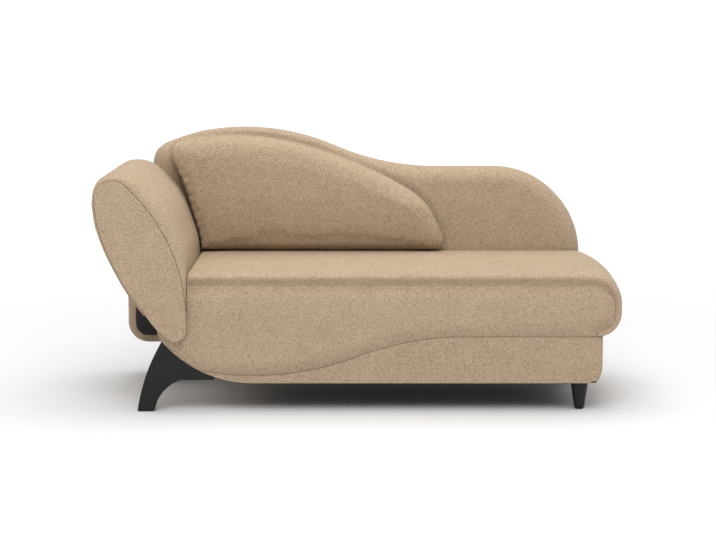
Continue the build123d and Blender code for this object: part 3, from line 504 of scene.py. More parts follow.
def padded_panel(name, loop, front, rear, body, pressed_by=None):
    """Closed pad between two heights in y, functions of the rim distance and the (x, z) points."""
    rim = resample(loop, EDGE_STEP)
    points = [Vector(point) for point in panel_points(rim, pressed_by)]
    sides = [(index, (index + 1) % len(rim)) for index in range(len(rim))]
    made, _, triangles, *_ = delaunay_2d_cdt(points, sides, [], 1, 1e-6)
    made = np.array([tuple(point) for point in made])
    distance = edge_distance(made, rim)
    faces = [tuple(triangle) for triangle in triangles]
    border = free_sides(faces)
    count = len(made)
    faces += [tuple(index + count for index in reversed(face)) for face in faces]
    faces += [(second, first, first + count, second + count) for first, second in border]
    solid = np.vstack([np.c_[made[:, 0], front(distance, made), made[:, 1]],
                       np.c_[made[:, 0], rear(distance, made), made[:, 1]]])
    return new_piece(name, solid, faces, body)


print("rings at", RINGS)

# %% [markdown]
# The heights of the panels are put together from a few forms: a flat face, a rounded rim, a crown that makes
# the middle fuller, and a soft falling-off for creases and prints.

# %% Forms of padding
def flat_face(y):
    """A plain face in the plane y."""
    return lambda distance, flat: np.full(len(distance), y)


def round_over(distance, reach, depth=None):
    """How far a rounded edge lies behind its face: a quarter of an ellipse that starts at the rim."""
    short = np.clip(1 - distance / reach, 0, 1)
    return (reach if depth is None else depth) * (1 - np.sqrt(1 - short ** 2))


def crown(distance, rise, reach):
    """Gentle fullness that grows with the distance from the rim."""
    return rise * (1 - np.exp(-distance / reach))


def fall(distance, wide):
    """Soft falling-off from 1 in a line to 0 at a distance."""
    return 0.5 * (1 + np.cos(np.pi * np.clip(distance / wide, 0, 1)))


print("a rim of 10 mm lies back by", round(1000 * float(round_over(0.0, 0.010)), 1), "mm")

# %% [markdown]
# A loose cushion leans on the back. It presses a shallow groove along its own outline into the soft padding,
# and the groove gives the dark line round the cushion. So the cushion's outline is drawn before the back,
# through given points.

# %% Cushion's outline and its print
PRESS_DEEP = 0.012
PRESS_WIDE = 0.022
PRESS_FADE_X = (-0.10, 0.15)
PRESS_FADE = (1, 0.3)
cushion_line = smooth_loop((
    (-0.541, 0.470), (-0.527, 0.458), (-0.300, 0.455), (0.000, 0.455), (0.262, 0.456), (0.287, 0.466),
    (0.293, 0.490), (0.275, 0.542), (0.228, 0.622), (0.136, 0.687), (0.017, 0.745), (-0.110, 0.793),
    (-0.226, 0.827), (-0.320, 0.843), (-0.412, 0.850), (-0.500, 0.848), (-0.570, 0.840), (-0.621, 0.822),
    (-0.639, 0.789), (-0.626, 0.745), (-0.599, 0.680), (-0.566, 0.572), (-0.549, 0.510),
))


def pressed_in(flat):
    """How deep the cushion's edge presses into the soft back: less towards its thin right end."""
    deep = PRESS_DEEP * np.interp(flat[:, 0], PRESS_FADE_X, PRESS_FADE)
    return deep * fall(edge_distance(flat, cushion_line), PRESS_WIDE)


print("cushion", np.round(np.ptp(cushion_line, axis=0), 3), "m wide and high")

# %% [markdown]
# The back. Its board is padded in front and behind, and the fabric turns over the rim in a wide, soft round.
# It takes the CAD pad's outline, a little narrower and shorter at the bottom, with a larger round at its
# lower left corner and a slightly lower left shoulder.

# %% Back
BACK_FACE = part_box("back_pad")[0].y
BACK_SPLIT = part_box("back_pad")[1].y
BACK_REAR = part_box("back_rear_pad")[1].y
BACK_SET = 0.004
BACK_ROUND = 0.050
BACK_REAR_ROUND = 0.030
BACK_CROWN = (0.006, 0.12)
BACK_TRIM = 0.989
BACK_BOTTOM = 0.119
CORNER_ROUND = 0.072
SHOULDER_DROP = 0.007
SHOULDER_X = -0.55
SHOULDER_FADE = 0.15
SHOULDER_Z = 0.6
LINE_STEP = 0.004

back_rim = resample(cad_outline("back_pad", BACK_SPLIT) * (BACK_TRIM, 1), LINE_STEP)
back_rim[:, 1] = np.maximum(back_rim[:, 1], BACK_BOTTOM)
low_corner = np.array((back_rim[:, 0].min() + CORNER_ROUND, BACK_BOTTOM + CORNER_ROUND))
from_corner = back_rim - low_corner
on_corner = (from_corner < 0).all(1)
from_corner *= CORNER_ROUND / np.linalg.norm(from_corner, axis=1)[:, None]
back_rim[on_corner] = low_corner + from_corner[on_corner]
shoulder = np.clip((SHOULDER_X - back_rim[:, 0]) / SHOULDER_FADE, 0, 1) * (back_rim[:, 1] > SHOULDER_Z)
back_rim[:, 1] -= SHOULDER_DROP * shoulder


def back_front(distance, flat):
    """Face of the back: a wide round at the rim, a slow crown and the cushion's print."""
    face = BACK_FACE + BACK_SET + round_over(distance, BACK_ROUND) - crown(distance, *BACK_CROWN)
    return face + pressed_in(flat)


def back_rear(distance, flat):
    """Rear of the back, with a smaller round at the rim."""
    return BACK_REAR - round_over(distance, BACK_REAR_ROUND)


back = padded_panel("back_upholstery", back_rim, back_front, back_rear, "base", turned_left(cushion_line))
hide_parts("back_pad", "back_rear_pad")

# %% [markdown]
# Where the head end always hides the back, fabric would be wasted. Upholsterers tack black lining cloth there
# and bring the fabric round the rim only. Seen from the front it is the dark place behind the lowest part of
# the head end, and there its black is also painted shade: it stands in for the deep shade under the head end.
# It is a thin panel that follows the back's face, and its rim keeps a set distance from the rim of the back.

# %% Lining on the back, its black a painted shade
PAINTED_SHADE_LINING_IN = 0.030
PAINTED_SHADE_LINING_TOP = 0.300
PAINTED_SHADE_LINING_RIGHT = -0.60
PAINTED_SHADE_LINING_PROUD = 0.002
PAINTED_SHADE_LINING_EDGE = 0.003
PAINTED_SHADE_LINING_DEEP = 0.003
PAINTED_SHADE_LINING_STEP = 0.01

from_rim = resample(back_rim, PAINTED_SHADE_LINING_STEP)
from_rim += PAINTED_SHADE_LINING_IN * loop_inward(from_rim)
from_rim = from_rim[(from_rim < (PAINTED_SHADE_LINING_RIGHT, PAINTED_SHADE_LINING_TOP)).all(1)]
start = np.argmin(np.linalg.norm(from_rim - (from_rim[:, 0].min(), PAINTED_SHADE_LINING_TOP), axis=1))
from_rim = np.roll(from_rim, -start, axis=0)
painted_shade_lining_rim = np.vstack([from_rim, (PAINTED_SHADE_LINING_RIGHT, from_rim[-1, 1]), (PAINTED_SHADE_LINING_RIGHT, PAINTED_SHADE_LINING_TOP)])


def on_back(flat):
    """The back's face at given points."""
    return back_front(edge_distance(flat, back_rim), flat)


# The black lining cloth paints the deep shade behind the lowest part of the head end.
painted_shade_lining = padded_panel("back_painted_shade_lining_cloth", painted_shade_lining_rim,
                      lambda d, flat: on_back(flat) - PAINTED_SHADE_LINING_PROUD * np.clip(d / PAINTED_SHADE_LINING_EDGE, 0, 1),
                      lambda d, flat: on_back(flat) + PAINTED_SHADE_LINING_DEEP, "base")
painted_shade_lining.data.materials[0] = dust_cloth

# %% [markdown]
# The seat's top pad runs along the seat and rolls over the foot end. It is one long bar of padding, so it is
# swept: a profile across the seat follows a path along its top. At the front the profile has a wide round and
# then turns into the crease above the apron. Round the foot end the pad shows a narrower band, so a second
# profile is made for it.

# %% Seat: profiles
SEAT_LOW, SEAT_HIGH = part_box("seat_pad")
SEAT_FRONT, SEAT_REAR = SEAT_LOW.y, SEAT_HIGH.y
REAR_EDGE_ROUND = 0.016
BAND = 0.040
BAND_END = 0.020
PAD_UNDER = 0.006
ROLL_ROUND = (0.028, 0.060)
ROLL_PROUD = 0.005
ROLL_CREASE = 0.037
CREASE_DEEP = 0.018
END_ROUND = (0.018, 0.034)
END_CREASE = 0.017
END_CREASE_SHARE = 0.7
FACE_SET = 0.002
TOP_INSET = (0.05, 0.10)
UNDER_INSET = 0.07


def seat_profile(front_steps):
    """Closed profile of (y, depth): rear round, top, the given steps at the front, underside."""
    angle = np.radians(np.linspace(0, 90, 9))
    rear_y = SEAT_REAR - REAR_EDGE_ROUND + REAR_EDGE_ROUND * np.cos(angle)
    rear_round = list(zip(rear_y, REAR_EDGE_ROUND - REAR_EDGE_ROUND * np.sin(angle)))
    top = [(y, 0.0) for y in np.linspace(SEAT_REAR - TOP_INSET[0], SEAT_FRONT + TOP_INSET[1], 18)]
    under = [(SEAT_FRONT + UNDER_INSET, BAND + PAD_UNDER), (SEAT_REAR, BAND + PAD_UNDER)]
    return np.array(rear_round + top + front_steps + under)


def roll_steps(band, proud, rounding, crease, wide):
    """Front of the roll: over its round, out to its front, and back into the crease at its lower edge."""
    depth = band * (1 - np.cos(np.linspace(0, np.pi / 2, 24)))[1:]
    front = SEAT_FRONT - proud + round_over(depth, *rounding)
    return list(zip(front + (proud + FACE_SET + crease) * fall(band - depth, wide), depth))


long_steps = roll_steps(BAND, ROLL_PROUD, ROLL_ROUND, CREASE_DEEP, ROLL_CREASE)
end_steps = roll_steps(BAND_END, -FACE_SET, END_ROUND, END_CREASE, BAND_END * END_CREASE_SHARE)
long_profile = seat_profile(long_steps)
end_profile = seat_profile(end_steps)
# The last step of the front, in the crease, is followed by the two points of the underside.
FRONT_EDGE = len(end_profile) - 3
print("profile", len(long_profile), "points")

# %% [markdown]
# The path of the sweep runs level along the top of the seat, and then round the foot end in two arcs, a wider
# one above and a tighter one below. Its left end is slightly rounded off.

# %% Seat: path
LEFT_PROUD = 0.0035
SEAT_LEFT = SEAT_LOW.x - LEFT_PROUD
LEFT_ROUND = (0.016, 0.010)
LEVEL_STEPS = 70
TOP_STEPS = 28
LOW_STEPS = 24
END_TOP_RADIUS = 0.101
END_LOW_RADIUS = 0.077
END_LOW_Z = 0.242
LOW_ARC_END = -88


def arc(center, radius, first, last, count):
    """Points of an arc and the directions to its centre."""
    angle = np.radians(np.linspace(first, last, count))
    out = np.c_[np.cos(angle), np.sin(angle)]
    return np.array(center) + radius * out, -out


top_center = (SEAT_HIGH.x - END_TOP_RADIUS, SEAT_HIGH.z - END_TOP_RADIUS)
low_center = (SEAT_HIGH.x - END_LOW_RADIUS, END_LOW_Z + END_LOW_RADIUS)
# The points lie closer together at the left end, where the pad's edge is rounded.
level_x = SEAT_LEFT + np.linspace(0, 1, LEVEL_STEPS) ** 1.5 * (top_center[0] - SEAT_LEFT)
level = np.c_[level_x, SEAT_HIGH.z - round_over(level_x - SEAT_LEFT, *LEFT_ROUND)]
top_arc, top_in = arc(top_center, END_TOP_RADIUS, 90, 0, TOP_STEPS)
low_arc, low_in = arc(low_center, END_LOW_RADIUS, 0, LOW_ARC_END, LOW_STEPS)
on_level = LEVEL_STEPS - 1
seat_path = np.vstack([level[:-1], top_arc, low_arc])
seat_inward = np.vstack([np.tile((0.0, -1.0), (on_level, 1)), top_in, low_in])
turned = np.r_[np.zeros(on_level), np.linspace(0, 1, TOP_STEPS), np.linspace(1, 2, LOW_STEPS)]
print("path", len(seat_path), "points,", round(float(lengths_along(seat_path)[-1]), 2), "m long")

# %% [markdown]
# Every point of the path gets its profile, turned square to the path. Round the foot end the second profile
# takes over little by little. The top is a little fuller in the middle than at its edges, and the middle of
# the foot end bulges as stuffed ends do.

# %% Seat: sweep
END_BULGE = 0.014
BULGE_TURN = (0, 0.35, 1, 1.6, 2)
BULGE_SHARE = (0.35, 0.85, 1, 0.5, 0)
SEAT_CROWN = 0.005
CROWN_START = 0.1
NEAR_END = (0.60, 0.15)
NEAR_END_RISE = 0.002
# Only the points of the profile that are less deep than this bulge.
TOP_SIDE = 0.03

# The end's profile takes over soon after the turn has begun, slowly at first.
to_end = np.clip(turned * 1.15 - 0.10, 0, 1) ** 1.3
seat_band = BAND + (BAND_END - BAND) * to_end
swell = np.interp(turned, BULGE_TURN, BULGE_SHARE) * END_BULGE * (turned > 0)
near_end = np.clip((seat_path[:, 0] - NEAR_END[0]) / NEAR_END[1], 0, 1) * (turned == 0)
from_start = np.clip((seat_path[:, 0] - SEAT_LEFT) / CROWN_START, 0, 1)
swell += near_end ** 2 * NEAR_END_RISE + (turned == 0) * SEAT_CROWN * from_start
profiles = [long_profile + (end_profile - long_profile) * share for share in to_end]
seat_rows = []
for (x, z), turn, profile, full in zip(seat_path, seat_inward, profiles, swell):
    y = profile[:, 0]
    across = np.clip((y - SEAT_FRONT) / (SEAT_REAR - SEAT_FRONT), 0, 1)
    deep = profile[:, 1] - full * 4 * across * (1 - across) * (profile[:, 1] < TOP_SIDE)
    seat_rows.append(np.c_[x + turn[0] * deep, y, z + turn[1] * deep])
seat = tube("seat_top_roll", seat_rows, "base")
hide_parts("seat_pad")

# %% [markdown]
# The apron is the padded front of the seat. A crease runs along its top under the seat's roll and on round
# the foot end, and below it turns under along the wave. So it is a shallow pillow whose upper rim follows the
# crease that the seat's roll leaves, and whose lower rim is the wave of the CAD apron.

# %% Apron: rim
APRON_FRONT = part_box("front_apron")[0].y
APRON_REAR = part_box("front_apron")[1].y
# The head end's pivot, as (x, z).
PIVOT = np.array((-0.580, 0.268))
HANGING_X = PIVOT[0] + 0.001
SAME_X = 0.0005
CREASE_GAP = 0.0006
CREASE_STEP = 0.003
WAVE_STOP = 0.004

wave = cad_outline("front_apron", APRON_REAR)
upper_left = max(range(len(wave)), key=lambda index: wave[index, 1] - wave[index, 0])
wave = np.roll(wave, -upper_left, axis=0)
wave = wave[:np.argmax(wave[:, 0] > low_center[0])]
# The apron's left edge moves out with the seat's.
wave[np.abs(wave[:, 0] - SEAT_LOW.x) < SAME_X, 0] = SEAT_LEFT
wave = np.vstack([wave[1:], [(low_center[0] - WAVE_STOP, wave[-1, 1])]])
hanging = wave[np.argmax(wave[:, 0] < HANGING_X):]
crease_line = seat_path + seat_inward * (seat_band + CREASE_GAP)[:, None]
crease_line[:on_level, 1] = SEAT_HIGH.z - BAND - CREASE_GAP
apron_rim = np.vstack([wave, crease_line[::-1]])
print("wave", len(wave), "points, crease", len(crease_line), "points")

# %% [markdown]
# The apron's face meets the seat's roll at the bottom of the crease, so there it falls back as far as the
# roll does. Along the wave it turns under, first slowly and then in a small lip.

# %% Apron
APRON_CREASE = 0.040
APRON_CROWN = (0.003, 0.06)
WAVE_REACH = 0.044
WAVE_DEEP = 0.0155
WAVE_POWER = 1.5
WAVE_LIP = (0.009, 0.0045)

crease_lengths = lengths_along(crease_line)
crease_at = np.arange(0, crease_lengths[-1], CREASE_STEP)
crease_even = points_at(crease_line, crease_lengths, crease_at)
crease_y = np.array([profile[FRONT_EDGE, 0] for profile in profiles])
crease_back = np.interp(crease_at, crease_lengths, crease_y) - APRON_FRONT - FACE_SET


def apron_front(distance, flat):
    """Turned under along the wave, and meets the seat's roll in the crease."""
    nearest = np.array([np.argmin(((crease_even - point) ** 2).sum(1)) for point in flat])
    from_crease = np.linalg.norm(flat - crease_even[nearest], axis=1)
    dip = crease_back[nearest] * fall(from_crease, APRON_CREASE)
    to_wave = edge_distance(flat, hanging, closed=False)
    under = WAVE_DEEP * np.clip(1 - to_wave / WAVE_REACH, 0, 1) ** WAVE_POWER
    under += round_over(to_wave, *WAVE_LIP)
    return APRON_FRONT + FACE_SET + np.maximum(dip, under) - crown(distance, *APRON_CROWN)


apron = padded_panel("apron_pillow", apron_rim, apron_front, flat_face(APRON_REAR), "base")
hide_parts("front_apron")

# %% [markdown]
# Under the top pad lies the seat's foam in its lining, and another block of foam fills the roll at the foot
# end. They show at the left end once the head end is folded down, and from behind, so each gets a soft-edged
# block that closes the space between the top pad and the box.

# %% Foam blocks
FOAM_LOW, FOAM_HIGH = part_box("seat_foam")
FOAM_ROUND = 0.012
CORE_PROUD = 0.002
END_CORE_BACK = 0.004
ARC_CLEAR = 0.001


def foam_block(name, rim, rear, *stands_for):
    """Soft-edged block of foam behind the apron."""
    block = padded_panel(name, rim, lambda d, flat: FOAM_LOW.y + CORE_PROUD + round_over(d, FOAM_ROUND),
                         lambda d, flat: rear - round_over(d, FOAM_ROUND), "base")
    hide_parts(*stands_for)


core_left = FOAM_LOW.x - CORE_PROUD
core_rim = np.array([(core_left, FOAM_LOW.z), (FOAM_HIGH.x, FOAM_LOW.z),
                     (FOAM_HIGH.x, FOAM_HIGH.z), (core_left, FOAM_HIGH.z)])
foam_block("seat_core", core_rim, FOAM_HIGH.y, "seat_foam")

pad_deep = SEAT_HIGH.z - FOAM_HIGH.z
box_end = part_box("plinth_end_cover")[1]
roll_low, _ = arc(low_center, END_LOW_RADIUS - pad_deep, LOW_ARC_END, 0, 16)
roll_low = roll_low[roll_low[:, 0] > box_end.x + ARC_CLEAR]
roll_top, _ = arc(top_center, END_TOP_RADIUS - pad_deep, 0, 90, 12)
roll_top = roll_top[roll_top[:, 0] > FOAM_HIGH.x + ARC_CLEAR]
end_rim = np.vstack([(box_end.x, roll_low[0, 1]), roll_low, roll_top, (FOAM_HIGH.x, FOAM_HIGH.z),
                     (FOAM_HIGH.x, box_end.z), (box_end.x, box_end.z)])
foam_block("foot_end_core", end_rim, SEAT_REAR - END_CORE_BACK, "end_roll_foam")

# %% [markdown]
# The plinth is the plain fabric under the wave, stretched over the box. It is two panels: a thin one in
# front, and one that covers the foot end of the box, with the CAD cover's tucked-in lower edge.

# %% Plinth
PLINTH_LOW, PLINTH_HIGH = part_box("plinth_cover")
PLINTH_ROUND = (0.002, 0.001)
END_SKIN_LOW, END_SKIN_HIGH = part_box("plinth_end_cover")
END_SKIN_PROUD = 0.003

plinth = padded_panel("plinth_front_cloth", cad_outline("plinth_cover", PLINTH_HIGH.y),
                      lambda d, flat: PLINTH_LOW.y + round_over(d, *PLINTH_ROUND),
                      flat_face(PLINTH_HIGH.y), "base")
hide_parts("plinth_cover")
end_cloth = padded_panel("plinth_end_cloth", cad_outline("plinth_end_cover", END_SKIN_HIGH.y),
                         flat_face(END_SKIN_LOW.y - END_SKIN_PROUD), flat_face(END_SKIN_HIGH.y), "base")
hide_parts("plinth_end_cover")

# %% [markdown]
# The head end has a lens-shaped panel in front and another behind. Each is a padded panel with the CAD
# panel's outline, drawn in a little along the lower part of its outer side, and with a small round into the
# seam.

# %% Head end: panels
LENS_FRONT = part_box("head_front_panel")[0].y
LENS_OUTLINE_Y = -0.392
LENS_THICK = 0.010
LENS_SET = 0.001
LENS_CROWN = (0.002, 0.03)
SEAM_ROUND = 0.005
REAR_PANEL_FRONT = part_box("head_rear_panel")[0].y
REAR_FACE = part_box("head_rear_panel")[1].y
REAR_SEAM_ROUND = 0.003
LEAN = math.radians(25.2)
OUTWARD = np.array((-math.cos(LEAN), -math.sin(LEAN)))
LENS_SLIM = 0.009
SLIM_SIDE = 0.03
SLIM_TIP = 0.06
SLIM_TOP_Z = 0.60
SLIM_FADE = 0.15


def slimmed(loop):
    """The lens drawn in a little along the lower part of its outer side."""
    loop = resample(loop, LINE_STEP)
    outer_side = (loop - PIVOT) @ OUTWARD / SLIM_SIDE
    from_tip = (np.linalg.norm(loop - PIVOT, axis=1) - SLIM_TIP) / SLIM_TIP
    below = (SLIM_TOP_Z - loop[:, 1]) / SLIM_FADE
    share = np.clip(outer_side, 0, 1) * np.clip(from_tip, 0, 1) * np.clip(below, 0, 1)
    return loop + LENS_SLIM * share[:, None] * loop_inward(loop)


lens = slimmed(cad_outline("head_front_panel", LENS_OUTLINE_Y))
lens_front = padded_panel(
    "head_lens_front", lens,
    lambda d, flat: LENS_FRONT + LENS_SET + round_over(d, SEAM_ROUND) - crown(d, *LENS_CROWN),
    flat_face(LENS_FRONT + LENS_THICK), "head_end")
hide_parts("head_front_panel")
lens_rear = padded_panel(
    "head_lens_rear", slimmed(cad_outline("head_rear_panel", REAR_FACE)), flat_face(REAR_PANEL_FRONT),
    lambda d, flat: REAR_FACE + LENS_SET - round_over(d, REAR_SEAM_ROUND), "head_end")
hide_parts("head_rear_panel")

# %% [markdown]
# One padded wrap joins the two panels. It is thin on the outside and swells towards the seat. Its outer line
# is given as points on the swollen side and follows the lens on the thin side. The seam is the line on the
# lens that lies next to each point of the outer line.

# %% Head end: lines of the wrap
WRAP_LOW_RADIUS = 0.104
WRAP_THIN = 0.009
WRAP_STEPS = 170
THIN_FADE = (0.32, 0.30)
THIN_TOP_Z = 0.68
LENS_STEP = 0.012
SEAM_STEP = 0.002
SEAM_LOOK = 0.02
SEAM_PASSES = 12
swollen_side = np.array((
    (-0.5465, 0.336), (-0.5465, 0.385), (-0.546, 0.450), (-0.551, 0.508), (-0.570, 0.570), (-0.597, 0.640),
    (-0.627, 0.686), (-0.664, 0.723), (-0.702, 0.753), (-0.737, 0.766), (-0.778, 0.766), (-0.812, 0.752),
    (-0.832, 0.722),
))


def open_curve(corners, count):
    """Smooth open curve through given points, evenly spaced."""
    ends = np.vstack([2 * corners[0] - corners[1], corners, 2 * corners[-1] - corners[-2]])
    dense = smooth_loop(ends, 12)[12:12 * len(corners) + 1]
    lengths = lengths_along(dense)
    return points_at(dense, lengths, np.linspace(0, lengths[-1], count))


lens_even = resample(lens, LENS_STEP)
lens_even = np.roll(lens_even, -np.argmax(lens_even[:, 1]), axis=0)
thin = WRAP_THIN * np.clip((lens_even[:, 1] - THIN_FADE[0]) / THIN_FADE[1], 0.5, 1)
thin_side = lens_even - thin[:, None] * line_inward(lens_even)
outside = (thin_side - PIVOT) @ OUTWARD > 0
from_pivot = np.linalg.norm(thin_side - PIVOT, axis=1)
thin_side = thin_side[outside & (thin_side[:, 1] < THIN_TOP_Z) & (from_pivot > WRAP_LOW_RADIUS)]
outer = open_curve(np.vstack([swollen_side, thin_side]), WRAP_STEPS)
outer_inward = line_inward(outer)
lens_dense = resample(lens, SEAM_STEP)
seam = np.array([lens_dense[np.argmin(np.linalg.norm(lens_dense - point - SEAM_LOOK * turn, axis=1))]
                 for point, turn in zip(outer, outer_inward)])
for _ in range(SEAM_PASSES):
    seam[1:-1] = (seam[:-2] + 2 * seam[1:-1] + seam[2:]) / 4
print("wrap's outer line", round(float(lengths_along(outer)[-1]), 2), "m")

# %% [markdown]
# The wrap is a grid. Each row starts in the seam round the lens, rises in a round to the outer line, runs to
# the rear and turns in again. The round is deep where the wrap is swollen and short where it is thin.

# %% Head end: wrap
SEAM_LIP = 0.004
SEAM_GAP = 0.0006
SEAM_SET = 0.003
ROUND_DEEP = 0.095
ROUND_THIN = 0.016
SWELL_GAP = 0.035
REAR_ROUND = 0.014
INNER_SET = 0.003
INNER_FRONT = 0.012

gap = np.linalg.norm(outer - seam, axis=1)
seam_outward = (outer - seam) / gap[:, None]
round_deep = ROUND_THIN + (ROUND_DEEP - ROUND_THIN) * np.clip((gap - WRAP_THIN) / SWELL_GAP, 0, 1)
lip_y = LENS_FRONT + SEAM_SET
wrap_lines = []
for angle in np.radians(np.linspace(0, 75, 6)):
    flat = seam + seam_outward * (SEAM_GAP + SEAM_LIP * (1 - math.cos(angle)))
    wrap_lines.append((flat, np.full(len(flat), lip_y + SEAM_LIP * (1 - math.sin(angle)))))
for share in np.linspace(0.02, 1, 16):
    lift = SEAM_LIP + (gap - SEAM_LIP) * math.sqrt(1 - (1 - share) ** 2)
    wrap_lines.append((seam + seam_outward * lift[:, None], lip_y + round_deep * share))
for share in np.linspace(0.12, 0.90, 12):
    wrap_lines.append((outer, lip_y + round_deep + (REAR_FACE - REAR_ROUND - lip_y - round_deep) * share))
for angle in np.radians(np.linspace(0, 90, 8)):
    wrap_lines.append((outer + outer_inward * REAR_ROUND * (1 - math.cos(angle)),
                       np.full(len(outer), REAR_FACE - REAR_ROUND * (1 - math.sin(angle)))))
for y in (REAR_FACE, LENS_FRONT + INNER_FRONT):
    wrap_lines.append((seam - seam_outward * INNER_SET, np.full(len(seam), y)))
wrap_rows = [np.array([(flat[step, 0], y[step], flat[step, 1]) for flat, y in wrap_lines])
             for step in range(len(outer))]
wrap = tube("head_wrap", wrap_rows, "head_end")
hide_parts("head_inner_pad", "head_outer_cover")

# %% [markdown]
# The loose back cushion is a teardrop, boxed on its left side and with a full, round edge along its top. A
# formula gives that volume, and small puckers in the outline show where the cover is gathered at the left
# seam.

# %% Back cushion: form
CUSHION_OFF = 0.002
CUSHION_REAR = BACK_FACE - CUSHION_OFF
CUSHION_REAR_ROUND = (0.02, 0.012)
CUSHION_RIM = 0.026
CUSHION_DEPTH = 0.094
CUSHION_CROWN = 0.014
CUSHION_CROWN_REACH = 0.07
CUSHION_ROUND = (0.028, 0.047)
CUSHION_ROUND_Z = (0.50, 0.64)
CUSHION_BELLY = 0.024
BELLY_HEIGHT = 0.22
CUSHION_FOOT_Z = 0.455
CUSHION_TIGHT = 0.008
TIGHT_FADE = 0.12
LEFT_SIDE_Z = (0.47, 0.79)
LEFT_SIDE_X = (-0.541, -0.640)
PUCKER = 0.004
PUCKER_STEP = 0.03
PUCKER_Z = (0.49, 0.74)
PUCKER_NEAR = 0.02


def from_left(flat):
    """Distance to the right of the cushion's straight left side."""
    return flat[:, 0] - np.interp(flat[:, 1], LEFT_SIDE_Z, LEFT_SIDE_X)


def cushion_front(distance, flat):
    """Boxed on the left, a round edge at the top, drawn in slowly towards the seat, and a crown."""
    belly = CUSHION_BELLY * np.clip(1 - (flat[:, 1] - CUSHION_FOOT_Z) / BELLY_HEIGHT, 0, 1) ** 2
    reach = np.interp(flat[:, 1], CUSHION_ROUND_Z, CUSHION_ROUND)
    reach = CUSHION_TIGHT + (reach - CUSHION_TIGHT) * np.clip(from_left(flat) / TIGHT_FADE, 0, 1)
    full = CUSHION_DEPTH - CUSHION_RIM - CUSHION_CROWN - belly
    return (CUSHION_REAR - CUSHION_DEPTH + belly + round_over(distance, reach, full)
            + CUSHION_CROWN * np.exp(-distance / CUSHION_CROWN_REACH))


def cushion_rear(distance, flat):
    """Rear of the cushion, with its edge a little off the back."""
    return CUSHION_REAR - round_over(distance, *CUSHION_REAR_ROUND)


line_z = cushion_line[:, 1]
puckered = (from_left(cushion_line) < PUCKER_NEAR) & (line_z > PUCKER_Z[0]) & (line_z < PUCKER_Z[1])
cushion_line[:, 0] += PUCKER * puckered * (0.5 - 0.5 * np.cos(2 * np.pi * line_z / PUCKER_STEP)) ** 4
cushion = padded_panel("back_cushion_soft", turned_left(cushion_line), cushion_front, cushion_rear, "base")

# %% [markdown]
# A stuffed cover is under uneven tension, which is hard to draw by hand. Blender's cloth gives it: the
# cushion, held along its rim and its left side, is blown up a little from inside, and moves that go too far
# are cut short, so that the form stays.

# %% Back cushion: stuffing
CLOTH_VOXEL = 0.005
CLOTH_MOVE = 0.005
CLOTH_PRESSURE = 4.0
CLOTH_SHRINK = -0.012
CLOTH_FRAMES = 20
LEFT_HELD = 0.012


def evaluated(piece):
    """The piece with its modifiers worked out."""
    return piece.evaluated_get(bpy.context.evaluated_depsgraph_get())


def stuffed(piece, held, limit):
    """Blow a piece up as cloth: even mesh, held points, some frames, and no move over the limit."""
    even = piece.modifiers.new("even_mesh", "REMESH")
    even.mode = "VOXEL"
    even.voxel_size = CLOTH_VOXEL
    even.use_smooth_shade = True
    mesh = bpy.data.meshes.new_from_object(evaluated(piece))
    piece.modifiers.clear()
    piece.data = mesh
    rest = np.array([vertex.co for vertex in mesh.vertices])
    group = piece.vertex_groups.new(name="held")
    group.add([int(index) for index in np.nonzero(held(rest))[0]], 1.0, "REPLACE")
    cloth = piece.modifiers.new("cloth", "CLOTH")
    cloth.settings.use_pressure = True
    cloth.settings.uniform_pressure_force = CLOTH_PRESSURE
    cloth.settings.effector_weights.gravity = 0
    cloth.settings.vertex_group_mass = group.name
    cloth.settings.shrink_min = CLOTH_SHRINK
    cloth.point_cache.frame_start = 1
    cloth.point_cache.frame_end = CLOTH_FRAMES
    for step in range(1, CLOTH_FRAMES + 1):
        bpy.context.scene.frame_set(step)
    shift = np.array([vertex.co for vertex in evaluated(piece).data.vertices]) - rest
    piece.modifiers.clear()
    far = np.linalg.norm(shift, axis=1)
    shift *= np.minimum(1, limit / np.maximum(far, 1e-9))[:, None]
    mesh.vertices.foreach_set("co", (rest + shift).ravel())
    bpy.context.scene.frame_set(1)
    print(piece.name, "blown up by", round(1000 * far.max()), "mm, kept under", round(1000 * limit), "mm")


def cushion_held(rest):
    """Points of the cushion that stay: its rim and its left side."""
    return (rest[:, 1] > CUSHION_REAR - CUSHION_RIM) | (from_left(rest[:, ::2]) < LEFT_HELD)


stuffed(cushion, cushion_held, CLOTH_MOVE)
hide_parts("back_cushion")

# %% [markdown]
# The lounger stands in a studio on a pale floor. The floor is a disc that fades out towards its rim, so that
# no edge of it shows behind the lounger.

# %% Floor
FLOOR_RADIUS = 3.8
FLOOR_FADE = 1.3
FLOOR_SIDES = 64
FLOOR_GREYS = ((0.74, 0.74, 0.74, 1), (0.77, 0.77, 0.77, 1))

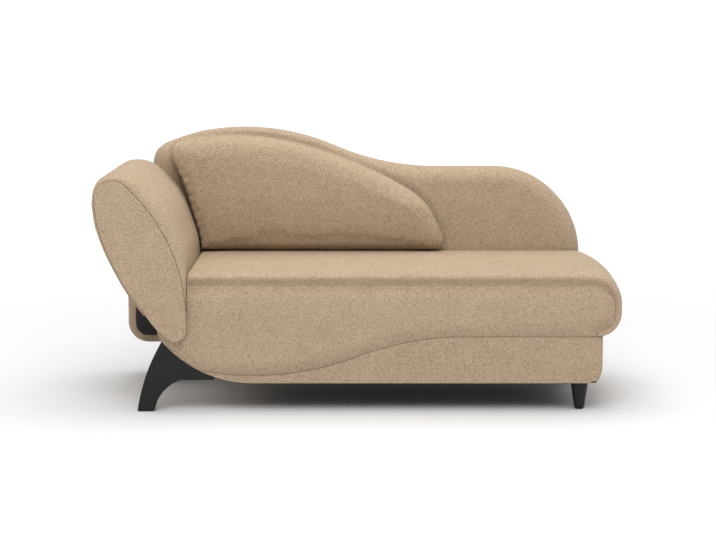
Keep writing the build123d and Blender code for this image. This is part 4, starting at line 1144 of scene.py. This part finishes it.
floor_rim = [(FLOOR_RADIUS * math.cos(step * 2 * math.pi / FLOOR_SIDES),
              FLOOR_RADIUS * math.sin(step * 2 * math.pi / FLOOR_SIDES), 0) for step in range(FLOOR_SIDES)]
floor_mesh = bpy.data.meshes.new("floor")
floor_mesh.from_pydata(floor_rim, [], [tuple(range(FLOOR_SIDES))])
floor = bpy.data.objects.new("floor", floor_mesh)
bpy.context.scene.collection.objects.link(floor)
floor_paint, shader, place = new_material("pale_floor")
from_middle = place.node("ShaderNodeVectorMath", {"operation": "LENGTH"}, {0: place}, output="Value")
fade = (from_middle - FLOOR_FADE) * (1 / (FLOOR_RADIUS - FLOOR_FADE))
dress(shader, blend_colours(noise(place, 0.8), *FLOOR_GREYS), 0.9)
plug(shader.id_data, shader.inputs["Alpha"], ramp(fade, (0.0, 1.0), (1.0, 0.0)))
floor_mesh.materials.append(floor_paint)
print("floor", 2 * FLOOR_RADIUS, "m across")

# %% [markdown]
# The surround is white overhead and below the horizon and dimmer in between. Large lights stand above and in
# front, so that tops are bright and the fronts a little darker, with no hard shadow.

# %% Light
SKY_LOW = 0.25
SKY_HIGH = 1.0
SKY_STRENGTH = 1.1
LIGHT_TARGET = (0.0, 0.0, 0.4)

world = bpy.data.worlds.new("studio")
bpy.context.scene.world = world
world.use_nodes = True
background = world.node_tree.nodes["Background"]
way = Shade(world.node_tree).node("ShaderNodeTexCoord", {}, {}, output="Generated")
rise = way.node("ShaderNodeSeparateXYZ", {}, {0: way}, output="Z")
sky = ramp(rise * 0.5 + 0.5, (0.51, 1.0), (0.515, SKY_LOW), (0.62, SKY_LOW), (0.90, SKY_HIGH))
plug(world.node_tree, background.inputs["Color"], sky)
background.inputs["Strength"].default_value = SKY_STRENGTH


def area_light(name, spot, size, watts):
    """Square soft light that looks at the middle of the lounger."""
    data = bpy.data.lights.new(name, "AREA")
    data.energy = watts
    data.size = size
    light = bpy.data.objects.new(name, data)
    light.location = spot
    light.rotation_euler = (Vector(LIGHT_TARGET) - Vector(spot)).to_track_quat("-Z", "Y").to_euler()
    bpy.context.scene.collection.objects.link(light)


area_light("top_light", (0.0, 0.6, 4.0), 3.5, 60.0)
area_light("front_light", (0.0, -4.0, 4.2), 3.0, 140.0)
bpy.context.scene.view_settings.view_transform = "Standard"
print("lights", len(bpy.data.lights))
